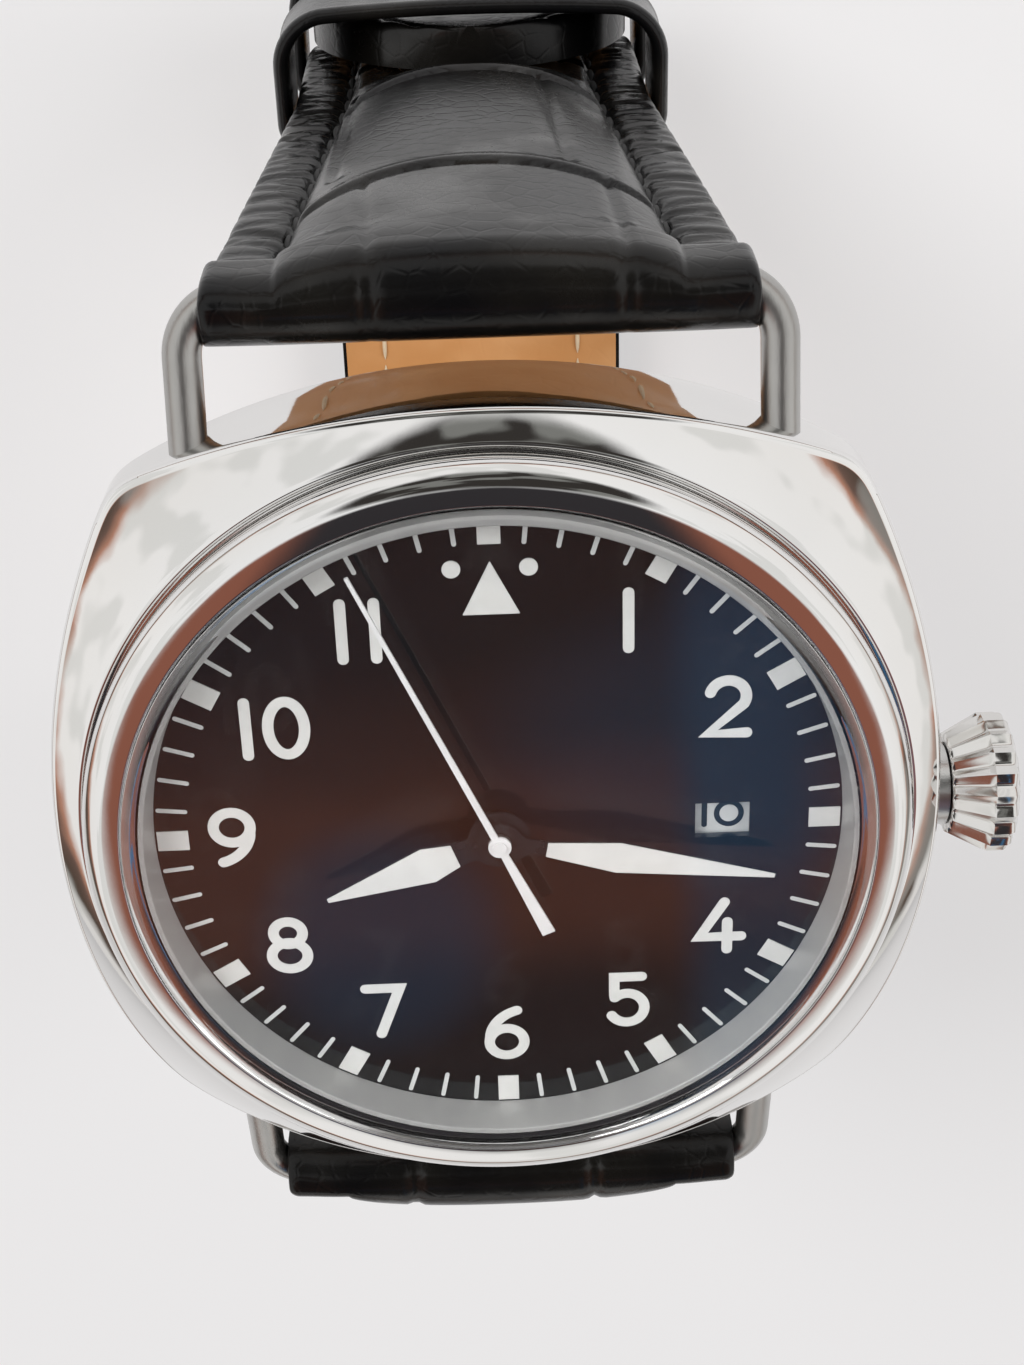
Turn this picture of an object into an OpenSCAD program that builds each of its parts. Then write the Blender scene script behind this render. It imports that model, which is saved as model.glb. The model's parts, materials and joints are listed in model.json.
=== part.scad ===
// Wristwatch with a cushion case, wire lugs, a conical fluted crown and a buckled leather strap.
// Millimetres. The watch stands on the closed strap, dial up: +Z out of the dial, +Y to twelve
// o'clock, +X to three o'clock and the crown. The origin is on the rest plane, under the hands.
// Inside the head every height is counted from the top of the dial.

/* [Case] */
// Width of the cushion across its flat sides
case_w = 42.9; // [42.3:0.1:44]
// Radius of the big arcs that make the four sides
case_side_r = 38.2; // [36:0.1:42]
// Radius that blunts the four corners
case_corner_r = 24.3; // [23.8:0.1:24.8]
// Height of the case top at the bezel seat
case_top_z = 1.2; // [1:0.05:1.4]
// Height of the case top at the corners
case_corner_top_z = -2.6; // [-3:0.1:-2.2]
// Height of the lower edge of the flank
flank_low_z = -4.3; // [-4.8:0.1:-4.1]
// Height of the underside where the case back sits
back_seat_z = -6.7; // [-7.4:0.1:-6.6]
// Radius of the bore that takes the dial and the movement
bore_r = 17.15; // [17.1:0.05:17.4]

/* [Bezel and crystal] */
// Outer radius of the bezel
bezel_r = 19.8; // [19.7:0.05:20]
// Height of the bezel's outer edge
bezel_edge_z = 2.36; // [2.1:0.02:2.5]
// Radius of the bezel crest
bezel_crest_r = 19.11; // [18.9:0.01:19.3]
// Height of the bezel crest
bezel_crest_z = 2.9; // [2.8:0.05:3]
// Height of the bezel's inner lip
bezel_lip_z = 3.15; // [3.05:0.05:3.3]
// Radius of the crystal
crystal_r = 17.87; // [17.7:0.01:17.9]
// Thickness of the crystal
crystal_t = 1.2; // [1:0.05:1.4]
// Width of the ground edge of the crystal
crystal_edge = 0.5; // [0.3:0.05:0.7]
// Wall of the crystal gasket
crystal_gasket_t = 0.35; // [0.25:0.05:0.4]
// Height of the inner flange ring, dial to crystal
flange_h = 2.2; // [2.15:0.05:2.4]
// Inner radius of the flange ring at the dial
flange_r = 16.45; // [16.3:0.05:16.6]
// How much wider the flange ring is at the crystal
flange_flare = 0.35; // [0.2:0.05:0.4]

/* [Dial] */
// Thickness of the dial
dial_t = 0.4; // [0.3:0.05:0.45]
// Radius of the hole for the hands
hand_hole_r = 1.05; // [1:0.05:1.3]
// Radius of the ring of hour markers
marker_ring_r = 15.6; // [15.2:0.05:15.65]
// Radial length of an hour marker
marker_len = 1.5; // [1.2:0.05:1.5]
// Width of an hour marker
marker_w = 1.05; // [0.8:0.05:1.3]
// Height of the raised lume
lume_t = 0.06; // [0.04:0.01:0.1]
// Distance of the date window's middle from the hand axis
date_x = 10.7; // [10.5:0.05:10.9]
// Radial size of the date window
date_w = 2.6; // [2.2:0.1:2.8]
// Height of the date window
date_h = 1.9; // [1.6:0.1:2.1]

/* [Hands] */
// Length of the hour hand
hour_len = 9.05; // [8:0.05:11]
// Direction of the hour hand, clockwise from twelve
hour_angle = 250; // [0:1:359]
// Length of the minute hand
minute_len = 13.5; // [12:0.05:14]
// Direction of the minute hand, clockwise from twelve
minute_angle = 100; // [0:1:359]
// Length of the seconds hand
seconds_len = 15.7; // [14:0.05:16]
// Length of the seconds hand's tail
seconds_tail = 5.5; // [4:0.1:6]
// Direction of the seconds hand, clockwise from twelve
seconds_angle = 336; // [0:1:359]
// Thickness of a hand
hand_t = 0.14; // [0.1:0.01:0.16]
// Height of the hour hand above the dial
hour_z = 0.95; // [0.9:0.05:1]
// Free height between one hand and the next
hand_gap = 0.2; // [0.15:0.01:0.22]

/* [Crown] */
// Height of the crown and stem axis
stem_z = -2.15; // [-2.2:0.05:-2.1]
// Free length between the flank of the case and the crown
crown_gap = 0.7; // [0.6:0.05:0.8]
// Length of the fluted cone
crown_cone_l = 1.9; // [1.8:0.1:2.4]
// Length of the toothed rim
crown_rim_l = 1; // [0.8:0.1:1.4]
// Height of the crown's domed end
crown_dome_h = 0.6; // [0.3:0.1:0.8]
// Radius at the small end of the cone
crown_small_r = 2.5; // [2.4:0.05:2.6]
// Radius of the toothed rim
crown_r = 3.5; // [3.3:0.05:3.7]
// Number of flutes
flutes = 20; // [16:1:24]
// Depth of a flute
flute_depth = 0.28; // [0.2:0.02:0.34]
// Radius of the winding stem
stem_r = 0.55; // [0.5:0.01:0.58]
// Travel of the crown from pushed in to pulled out, which sets the depth of its bore
crown_travel = 1.6; // [1.2:0.1:1.8]

/* [Wire lugs] */
// Wire radius
wire_r = 0.9; // [0.8:0.05:0.95]
// Free width between the legs of a wire lug
lug_gap = 25.2; // [25:0.1:26]
// Distance of the strap bar from the hand axis
bar_y = 25.3; // [25.1:0.1:25.8]
// Height of the strap bar
bar_z = -4.5; // [-4.9:0.1:-4.2]
// Height of the lug root at the flank
root_z = -2.9; // [-3:0.05:-2.8]
// Radius of the wire's bends, on the centre line
bend_r = 2.6; // [2.2:0.1:3]
// Depth of the sockets in the case
socket_l = 1.6; // [1.2:0.1:1.7]

/* [Case back] */
// Radius of the case back
back_r = 18.9; // [18.6:0.1:19.1]
// Thickness of the case back at its middle
back_t = 2; // [1.8:0.1:2.4]
// Number of wrench notches
notches = 6; // [4:1:8]
// Width of a wrench notch
notch_w = 3; // [2:0.1:4]

/* [Movement] */
// Radius of the movement
movement_r = 12.8; // [12.7:0.05:13]
// Height of the main plate's top face
plate_top_z = -1.25; // [-1.3:0.05:-1.2]
// Thickness of the main plate
plate_t = 2.05; // [2:0.05:2.1]
// Free height between main plate and bridges
train_h = 2.15; // [2.1:0.05:2.2]
// Thickness of the bridges
bridge_t = 0.5; // [0.4:0.05:0.55]
// Thickness of a wheel
wheel_t = 0.15; // [0.12:0.01:0.18]
// Teeth of the barrel
barrel_teeth = 88; // [88:1:88]
// Leaves of the centre pinion
centre_leaves = 12; // [12:1:12]
// Teeth of the centre wheel
centre_teeth = 80; // [80:1:80]
// Teeth of the third wheel
third_teeth = 75; // [75:1:75]
// Teeth of the fourth wheel
fourth_teeth = 72; // [72:1:72]
// Teeth of the escape wheel
escape_teeth = 20; // [20:1:20]
// Distance from the centre arbor to the barrel arbor
barrel_dist = 6.25; // [6.2:0.05:6.3]
// Distance from the centre arbor to the third arbor
third_dist = 5; // [4.95:0.05:5.05]
// Distance from the centre arbor to the escape arbor
escape_dist = 4.8; // [4.75:0.05:4.85]
// Distance from the centre arbor to the minute wheel
minute_dist = 2.4; // [2.35:0.05:2.45]
// Radius of the balance rim
balance_r = 3.2; // [3:0.05:3.25]
// Radius of the oscillating weight
rotor_r = 12.2; // [11.8:0.1:12.4]

/* [Strap] */
// Width of the strap at the lugs
strap_w = 24.9; // [24:0.1:25]
// Width of the strap at the buckle
strap_end_w = 20.8; // [20:0.1:22]
// How far the strap tapers, along its length
taper_l = 36; // [28:1:40]
// Radius of the fold round the strap bar
wrap_r = 2.15; // [2.05:0.05:2.3]
// Length of the fold round the strap bar, along the stitched margins
wrap_l = 3; // [2.6:0.1:4]
// How much thinner the fold is at its two ends
fold_press = 0.25; // [0.1:0.05:0.3]
// Thickness of the lining
lining_t = 0.8; // [0.6:0.1:1]
// Thickness of the strap at its stitched margins
margin_t = 2.4; // [2.3:0.1:2.6]
// Thickness at the middle of the padding by the lugs
pad_t = 4.7; // [4.4:0.1:5]
// Length of the short half over which the padding stays full
pad_hold = 25; // [20:0.5:26]
// Thickness of the buckle end of the short half
short_end_t = 3.2; // [3.1:0.1:3.4]
// Thickness of the tail
tail_t = 2.4; // [2.3:0.1:2.6]
// Width of the tail where its round tip starts
tail_w = 19.6; // [19:0.1:20]
// Width of the stitched margin
margin_w = 3.3; // [2.8:0.1:3.8]
// Outward lean of the strap's sides, degrees
side_lean = 3; // [2:0.5:4]
// Straight length of the strap side at twelve
side_l = 44; // [42:1:48]
// Corner radius of the loop at the buckle, inside
corner_r = 12; // [11.5:0.5:13]
// Corner radius of the loop on the other side, inside
far_corner_r = 14; // [13:0.5:16]
// Angle of the buckle's hinge up the corner, degrees
hinge_up = 30; // [28:1:32]
// Where the tail ends, along the loop from the bar at twelve
tail_end = 34; // [33.5:0.5:35]
// Diameter of an adjustment hole
hole_d = 2.2; // [1.8:0.1:2.6]
// Spacing of the adjustment holes
hole_pitch = 6; // [5.5:0.1:6.5]
// Number of adjustment holes, with the one that the tongue is in
holes = 6; // [4:1:6]
// Length of the padding that lies on the floor
floor_pad_l = 12.5; // [12:0.5:13]

/* [Buckle and keepers] */
// Hinge to front bar, centre to centre
buckle_l = 11.4; // [11:0.1:12]
// Radius of the front bar
front_bar_r = 1; // [0.9:0.05:1.1]
// Width of a side rail
rail_w = 1.8; // [1.4:0.1:2.2]
// Radius of the spring bar
spring_bar_r = 0.6; // [0.5:0.05:0.7]
// Width of the tongue
tongue_w = 2.2; // [1.8:0.1:2.4]
// Width of the floating keeper, along the strap
keeper_l = 6.5; // [5.5:0.5:7]
// Width of the fixed keeper, along the strap
fixed_keeper_l = 5; // [4:0.5:5.5]
// Thickness of the keeper leather
keeper_t = 0.9; // [0.8:0.1:1.2]
// Where the floating keeper starts, along the loop from the bar
keeper_s = 33; // [32.5:0.5:34]
// Where the fixed keeper starts, along the loop from the bar
fixed_keeper_s = 45.5; // [45:0.5:46.5]

/* [Hidden] */
$fn = 96;

seat_gap = 0.02;
run_gap = 0.05;

loop_y = bar_y - wrap_r;
corner_turn = 90 + side_lean;
function arc_l(r, a) = r * a * PI / 180;
function advance(p, l, turn) = turn == 0
    ? [p[0] + l * sin(p[2]), p[1] - l * cos(p[2]), p[2]]
    : let (r = l / (turn * PI / 180))
        [p[0] - r * (cos(p[2] + turn) - cos(p[2])), p[1] - r * (sin(p[2] + turn) - sin(p[2])), p[2] + turn];
near_top = [loop_y, bar_z, side_lean];
near_corner = advance(near_top, side_l, 0);
near_low = advance(near_corner, arc_l(corner_r, corner_turn), -corner_turn);
loop_low_z = near_low[1];
far_side_l = (bar_z - loop_low_z - far_corner_r * (1 + sin(side_lean))) / cos(side_lean);
far_low_y = -(loop_y + far_side_l * sin(side_lean) - far_corner_r * cos(side_lean));
floor_l = near_low[0] - far_low_y;
loop_legs = [[side_l, 0], [arc_l(corner_r, corner_turn), -corner_turn], [floor_l, 0],
    [arc_l(far_corner_r, corner_turn), -corner_turn], [far_side_l, 0]];
loop_l = side_l + arc_l(corner_r, corner_turn) + floor_l + arc_l(far_corner_r, corner_turn) + far_side_l;
function walk(s, p, i) = i == len(loop_legs) - 1 || s <= loop_legs[i][0]
    ? advance(p, s, loop_legs[i][1] * s / loop_legs[i][0])
    : walk(s - loop_legs[i][0], advance(p, loop_legs[i][0], loop_legs[i][1]), i + 1);
function loop_at(s) = walk(s, near_top, 0);
floor_start = side_l + arc_l(corner_r, corner_turn);
floor_end = floor_start + floor_l;

tail_crown = 0.1;
front_bar_h = tail_t + tail_crown + run_gap + front_bar_r;
rest_h = front_bar_h + front_bar_r;
dial_z = rest_h - loop_low_z;
hinge_s = floor_start - arc_l(corner_r, hinge_up);
hinge_h = short_end_t / 2;

deg_full = 360;
deg_half = 180;
function half_tooth(n) = deg_half / n;
function unit(v) = v / norm(v);
function polar(d, a) = [d * cos(a), d * sin(a)];
function mix(a, b, t) = a + (b - a) * t;
function clamp01(t) = min(max(t, 0), 1);
function smooth(t) = let (c = clamp01(t)) c * c * (3 - 2 * c);
// Points of a fillet of radius r at corner c, between a and b
function fillet(a, c, b, r, n = 4) =
    let (u = unit(a - c), v = unit(b - c), half = acos(u * v) / 2,
        m = c + unit(u + v) * r / sin(half),
        p = c + u * r / tan(half), q = c + v * r / tan(half),
        from = atan2(p[1] - m[1], p[0] - m[0]), raw = atan2(q[1] - m[1], q[0] - m[0]) - from,
        turn = raw > deg_half ? raw - deg_full : raw < -deg_half ? raw + deg_full : raw)
    [for (i = [0 : n]) m + polar(r, from + turn * i / n)];
// An outline of [x, y, r] corners, each rounded by its own r
function soften(c) = [for (i = [0 : len(c) - 1])
    let (k = len(c), a = c[(i + k - 1) % k], m = c[i], b = c[(i + 1) % k])
    each m[2] > 0 ? fillet([a[0], a[1]], [m[0], m[1]], [b[0], b[1]], m[2]) : [[m[0], m[1]]]];
// Arc from p to q that bulges by sag to its left
function bow(p, q, sag, n = 10) =
    let (half = norm(q - p) / 2, r = (half * half + sag * sag) / (2 * sag),
        d = unit(q - p), m = (p + q) / 2 + [d[1], -d[0]] * (r - sag),
        a = asin(half / r), mid = atan2(d[0], -d[1]))
    [for (i = [0 : n]) m + polar(r, mid + a - 2 * a * i / n)];
module ring(r_out, r_in, z0, z1) {
    translate([0, 0, z0])
        difference() {
            cylinder(r = r_out, h = z1 - z0);
            translate([0, 0, -1]) cylinder(r = r_in, h = z1 - z0 + 2);
        }
}
module disc(r, z0, z1) {
    translate([0, 0, z0]) cylinder(r = r, h = z1 - z0);
}
module head() {
    translate([0, 0, dial_z]) children();
}

// Case
neck_r = 18.5;
neck_top = flange_h - seat_gap;
neck_foot_z = case_top_z - 0.25;
tube_r = 1.6;
back_lip_z = back_seat_z + 0.6;
dome_sag = 0.25;
under_sag = 0.45;
module cushion() {
    reach = case_side_r - case_w / 2;
    intersection() {
        translate([reach, 0]) circle(r = case_side_r, $fn = 360);
        translate([-reach, 0]) circle(r = case_side_r, $fn = 360);
        translate([0, reach]) circle(r = case_side_r, $fn = 360);
        translate([0, -reach]) circle(r = case_side_r, $fn = 360);
        circle(r = case_corner_r, $fn = 360);
    }
}
module case_body() {
    rim = case_corner_r + 0.2;
    dome = bow([bezel_r + 0.3, case_top_z], [rim, case_corner_top_z], dome_sag);
    under = bow([rim, flank_low_z], [back_r + 0.5, back_seat_z + 0.2], under_sag);
    color("silver") head() difference() {
        intersection() {
            translate([0, 0, back_seat_z]) linear_extrude(neck_top - back_seat_z) cushion();
            rotate_extrude() polygon(concat([[0, neck_top], [neck_r, neck_top], [neck_r, neck_foot_z],
                [bezel_r + 0.12, neck_foot_z]], dome, under,
                [[back_r + 0.3, back_seat_z], [0, back_seat_z]]));
        }
        disc(bore_r, back_seat_z - 1, neck_top + 1);
        translate([0, 0, stem_z]) rotate([0, 90, 0]) cylinder(r = tube_r + seat_gap, h = case_w);
        for (side = [-1, 1]) at_end(side) lug_wire_body(wire_r + seat_gap);
    }
}
// A thing drawn at twelve, put there or, turned half round, at six
module at_end(side) {
    rotate([0, 0, side > 0 ? 0 : deg_half]) children();
}

// Bezel, crystal and flange ring
gasket_r = crystal_r + seat_gap + crystal_gasket_t;
lip_t = 0.2;
module bezel() {
    foot_z = neck_foot_z + seat_gap;
    color("gainsboro") head() rotate_extrude($fn = 180) polygon(soften([
        [neck_r + seat_gap, foot_z, 0],
        [bezel_r, foot_z, 0.1],
        [bezel_r, bezel_edge_z, 0.15],
        [bezel_crest_r, bezel_crest_z, 0.3],
        [crystal_r + run_gap, bezel_lip_z, 0.08],
        [crystal_r + run_gap, bezel_lip_z - lip_t, 0],
        [gasket_r + seat_gap, bezel_lip_z - lip_t, 0],
        [gasket_r + seat_gap, flange_h, 0],
        [neck_r + seat_gap, flange_h, 0]]));
}
module crystal() {
    top = flange_h + crystal_t;
    color([0.8, 0.9, 0.95, 0.3]) head() rotate_extrude($fn = 180) polygon([[0, flange_h],
        [crystal_r, flange_h], [crystal_r, top - crystal_edge * 0.45],
        [crystal_r - crystal_edge, top], [0, top]]);
}
module crystal_gasket() {
    color("white") head()
        ring(gasket_r, crystal_r + seat_gap, flange_h, bezel_lip_z - lip_t - seat_gap);
}
module flange_ring() {
    out = bore_r - run_gap;
    top = flange_h - seat_gap;
    color("silver") head() rotate_extrude($fn = 180)
        polygon([[flange_r, seat_gap], [out, seat_gap], [out, top], [flange_r + flange_flare, top]]);
}

// Case back
groove_d = 0.35;
groove_w = 0.9;
groove_out_r = back_r - 0.6;
groove_in_r = groove_out_r - groove_w;
module case_back() {
    low = back_seat_z - back_t;
    lip_r = bore_r - run_gap;
    color("silver") head() difference() {
        rotate_extrude($fn = 180) polygon([[0, back_seat_z - 0.5], [lip_r - 1, back_seat_z - 0.5],
            [lip_r - 1, back_lip_z], [lip_r, back_lip_z], [lip_r, back_seat_z - seat_gap],
            [back_r, back_seat_z - seat_gap], [back_r, low + 1.2], [back_r - 0.5, low + 0.7],
            [back_r - 1.8, low + 0.2], [back_r - 3, low], [0, low]]);
        translate([0, 0, back_seat_z - groove_d]) difference() {
            cylinder(r = groove_out_r, h = 1);
            cylinder(r = groove_in_r, h = 1);
        }
        for (i = [0 : notches - 1])
            rotate([0, 0, (i + 0.5) * deg_full / notches])
                translate([back_r - 1.4, -notch_w / 2, low - 1]) cube([3, notch_w, 1.9]);
    }
}
module case_back_gasket() {
    color("black") head() ring(groove_out_r - seat_gap, groove_in_r + seat_gap,
        back_seat_z - groove_d + seat_gap, back_seat_z - seat_gap);
}

// Wire lugs: a bar, two bends and two legs in the plane that slopes down from the flank
leg_x = lug_gap / 2 + wire_r;
reach_y = case_side_r - case_w / 2;
root_y = sqrt(case_side_r * case_side_r - leg_x * leg_x) - reach_y;
slope = atan2(root_z - bar_z, bar_y - root_y);
leg_l = norm([bar_y - root_y, root_z - bar_z]) + socket_l;
module lug_wire_body(r) {
    bar_half = leg_x - bend_r;
    translate([0, bar_y, bar_z]) rotate([-slope, 0, 0]) {
        translate([-bar_half, 0, 0]) rotate([0, 90, 0]) cylinder(r = r, h = 2 * bar_half);
        for (side = [-1, 1]) {
            translate([side * bar_half, -bend_r, 0]) rotate([0, 0, side > 0 ? 0 : 90])
                rotate_extrude(angle = 90) translate([bend_r, 0]) circle(r = r, $fn = 48);
            translate([side * leg_x, -bend_r, 0]) rotate([90, 0, 0]) cylinder(r = r, h = leg_l - bend_r);
        }
    }
}
module lug_wire_upper() {
    color("darkgray") head() lug_wire_body(wire_r);
}
module lug_wire_lower() {
    color("darkgray") head() at_end(-1) lug_wire_body(wire_r);
}

// Dial: disc with its window and feet, raised hour markers, date disc below
foot_r = 0.35;
feet = [polar(7.6, 135), polar(7.6, 225)];
module dial() {
    color([0.05, 0.05, 0.05]) head() {
        difference() {
            disc(bore_r - run_gap, -dial_t, 0);
            disc(hand_hole_r, -dial_t - 1, 1);
            translate([date_x - date_w / 2, -date_h / 2, -dial_t - 1]) cube([date_w, date_h, dial_t + 2]);
        }
        for (p = feet) translate(p) disc(foot_r, plate_top_z - 0.6, -dial_t);
    }
}
triangle_top = 14;
triangle_foot = 11.38;
triangle_w = 2.6;
dot_x = 1.74;
dot_y = 13.66;
dot_r = 0.42;
module hour_markers() {
    color("white") head() {
        for (h = [0 : 11]) rotate([0, 0, -h * deg_full / 12])
            translate([-marker_w / 2, marker_ring_r - marker_len / 2, 0])
                cube([marker_w, marker_len, lume_t]);
        linear_extrude(lume_t) polygon([[0, triangle_top], [-triangle_w / 2, triangle_foot],
            [triangle_w / 2, triangle_foot]]);
        for (side = [-1, 1]) translate([side * dot_x, dot_y, 0]) cylinder(r = dot_r, h = lume_t);
    }
}
date_top_z = -dial_t - 0.2;
date_t = 0.25;
date_teeth = 31;
module date_disc() {
    inner = date_x - 1.8;
    tooth = 0.35;
    p = deg_full / date_teeth;
    color("white") head() translate([0, 0, date_top_z - date_t]) linear_extrude(date_t) difference() {
        circle(r = date_x + 1.7);
        polygon([for (i = [0 : date_teeth - 1]) let (a = i * p)
            each [polar(inner, a), polar(inner, a + 0.55 * p), polar(inner - tooth, a + 0.7 * p),
                polar(inner - tooth, a + 0.85 * p)]]);
    }
}

// Hands: outlines run along +Y, with the axis at the origin
function kite(from, from_w, wide_at, wide_w, tip) = [[-from_w / 2, from], [-wide_w / 2, wide_at],
    [-0.1, tip], [0.1, tip], [wide_w / 2, wide_at], [from_w / 2, from]];
shank_w = 1;
pipe_r = 0.9;
cannon_r = 0.55;
seconds_r = 0.12;
minute_z = hour_z + hand_t + hand_gap;
seconds_z = minute_z + hand_t + hand_gap;
lume_from = 2.28;
module hand_blank(z, hub, bore, outline) {
    difference() {
        union() {
            disc(hub, z, z + hand_t);
            translate([0, 0, z]) linear_extrude(hand_t)
                polygon(concat([[shank_w / 2, 0], [-shank_w / 2, 0]], outline));
        }
        disc(bore, z - 1, z + 1);
    }
}
hour_wide_at = 3.7;
hour_w = 2;
hour_neck_w = 1.3;
hour_hub_r = 1.5;
minute_wide_at = 5.74;
minute_w = 1.7;
minute_neck_w = 0.8;
minute_hub_r = 1.1;
seam = 0.05;
lume_rim = 0.1;
module hour_hand() {
    color("black") head() rotate([0, 0, -hour_angle])
        hand_blank(hour_z, hour_hub_r, pipe_r + seat_gap,
            kite(lume_from - lume_rim, hour_neck_w, hour_wide_at, hour_w, hour_len));
}
module hour_hand_lume() {
    color("white") head() rotate([0, 0, -hour_angle]) translate([0, 0, hour_z + hand_t])
        linear_extrude(lume_t) polygon(kite(lume_from, hour_neck_w - seam, hour_wide_at,
            hour_w - seam, hour_len - lume_rim));
}
module minute_hand() {
    color("black") head() rotate([0, 0, -minute_angle])
        hand_blank(minute_z, minute_hub_r, cannon_r + seat_gap,
            kite(lume_from - lume_rim, minute_neck_w, minute_wide_at, minute_w, minute_len));
}
module minute_hand_lume() {
    color("white") head() rotate([0, 0, -minute_angle]) translate([0, 0, minute_z + hand_t])
        linear_extrude(lume_t) polygon(kite(lume_from, minute_neck_w - seam, minute_wide_at,
            minute_w - seam, minute_len - lume_rim));
}
module seconds_hand() {
    hub = 0.55;
    color("white") head() rotate([0, 0, -seconds_angle]) difference() {
        union() {
            translate([0, 0, seconds_z]) linear_extrude(hand_t) union() {
                for (end = [[seconds_len, 0.09], [-seconds_tail, 0.33]])
                    polygon([[-0.17, 0], [-end[1], end[0]], [end[1], end[0]], [0.17, 0]]);
                circle(r = hub);
            }
            disc(hub * 0.6, seconds_z, seconds_z + hand_t + 0.1);
        }
        disc(seconds_r + seat_gap, seconds_z - 1, seconds_z + hand_t);
    }
}

// Gears: a toothed outline of n teeth and module m, one tooth centred on the angle at
function teeth(n, m, at, add, ded, tip_w, root_w) = let (r = n * m / 2, p = deg_full / n)
    [for (i = [0 : n - 1]) let (a = at + i * p)
        each [polar(r - ded * m, a - root_w * p / 2), polar(r + add * m, a - tip_w * p / 2),
            polar(r + add * m, a + tip_w * p / 2), polar(r - ded * m, a + root_w * p / 2)]];
module wheel(n, m, at, z0, bore, spokes = 5) {
    r = n * m / 2;
    rim = r - 3.4 * m;
    hub = bore + 0.5;
    translate([0, 0, z0]) linear_extrude(wheel_t) difference() {
        union() {
            difference() {
                polygon(teeth(n, m, at, 0.85, 1.25, 0.17, 0.56));
                circle(r = rim);
            }
            for (i = [0 : spokes - 1])
                rotate(i * deg_full / spokes) translate([0, -0.15]) square([rim + 0.05, 0.3]);
            circle(r = hub);
        }
        circle(r = bore);
    }
}
module pinion(n, m, at, z0, z1, bore = 0) {
    translate([0, 0, z0]) linear_extrude(z1 - z0) difference() {
        polygon(teeth(n, m, at, 0.7, 1.2, 0.16, 0.5));
        if (bore > 0) circle(r = bore);
    }
}

// Where the arbors stand, and the heights of the train, all counted down from the main plate
plate_low_z = plate_top_z - plate_t;
bridge_top_z = plate_low_z - train_h;
bridge_low_z = bridge_top_z - bridge_t;
barrel_a = 120;
third_a = -50;
escape_a = -125;
minute_a = 60;
balance_a = -140;
barrel_at = polar(barrel_dist, barrel_a);
third_at = polar(third_dist, third_a);
escape_at = polar(escape_dist, escape_a);
minute_at = polar(minute_dist, minute_a);
balance_at = polar(8.9, balance_a);
escape_r = 2;
pallet_span = 30;
pallet_d = escape_r / cos(pallet_span);
lever_dir = unit(balance_at - escape_at);
lever_a = atan2(lever_dir[1], lever_dir[0]);
pallet_at = escape_at + lever_dir * pallet_d;
pallet_foot_at = pallet_at + polar(3.2, lever_a + 120);
pivot_r = 0.1;
arbor_r = 0.2;
tube_out_r = 0.34;
tube_in_r = 0.17;
pillar_r = 1.1;
train_pillars = [polar(10.9, -15), polar(10.9, -90), polar(8.2, 180)];
barrel_pillars = [polar(10.9, 75), polar(10.9, 168), polar(10.9, 35)];
cock_foot_at = polar(10.6, -170);
cock_dir = unit(cock_foot_at - balance_at);
hair_first_r = 0.53;
hair_last_r = 2.35;
hair_turns = 9;
hair_w = 0.05;
hair_h = 0.14;
stud_r = 0.18;
screw_r = 0.28;
jewel_r = 0.55;
barrel_z0 = plate_low_z - 1.1;
barrel_r = 4.9;
barrel_arbor_r = 0.5;
centre_wheel_z = plate_low_z - 1.35;
third_wheel_z = plate_low_z - 1.75;
fourth_wheel_z = plate_low_z - 2.05;
escape_wheel_z = plate_low_z - 1;
train_leaves = 10;
escape_leaves = 8;
third_mod = 2 * third_dist / (centre_teeth + train_leaves);
fourth_mod = 2 * third_dist / (third_teeth + train_leaves);
escape_mod = 2 * escape_dist / (fourth_teeth + escape_leaves);
barrel_mod = 2 * barrel_dist / (barrel_teeth + centre_leaves);
cannon_leaves = 12;
minute_teeth = 36;
minute_leaves = 10;
hour_teeth = 40;
motion_mod = 2 * minute_dist / (cannon_leaves + minute_teeth);
hour_mod = 2 * minute_dist / (minute_leaves + hour_teeth);

// Motion work under the dial
motion_z = plate_top_z + 0.12;
hour_wheel_z = motion_z + wheel_t + 0.2;
post_r = 0.25;
hour_pipe_in_r = cannon_r + 0.06;
module cannon_pinion() {
    color("goldenrod") head() difference() {
        union() {
            pinion(cannon_leaves, motion_mod, minute_a + half_tooth(cannon_leaves), motion_z - 0.05,
                motion_z + wheel_t + 0.05);
            disc(cannon_r, motion_z, minute_z + hand_t);
        }
        disc(tube_out_r + 0.03, motion_z - 1, plate_top_z + 0.55);
        disc(seconds_r + run_gap, motion_z - 1, minute_z + 1);
    }
}
module minute_wheel() {
    color("goldenrod") head() translate(minute_at) {
        wheel(minute_teeth, motion_mod, minute_a + deg_half, motion_z, post_r + run_gap, 4);
        pinion(minute_leaves, hour_mod, minute_a + deg_half, motion_z + wheel_t,
            hour_wheel_z + wheel_t, post_r + run_gap);
    }
}
module hour_wheel() {
    color("goldenrod") head() difference() {
        union() {
            wheel(hour_teeth, hour_mod, minute_a + half_tooth(hour_teeth), hour_wheel_z, hour_pipe_in_r, 4);
            disc(pipe_r, hour_wheel_z, hour_z + hand_t);
        }
        disc(hour_pipe_in_r, hour_wheel_z - 1, hour_z + 1);
    }
}

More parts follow.
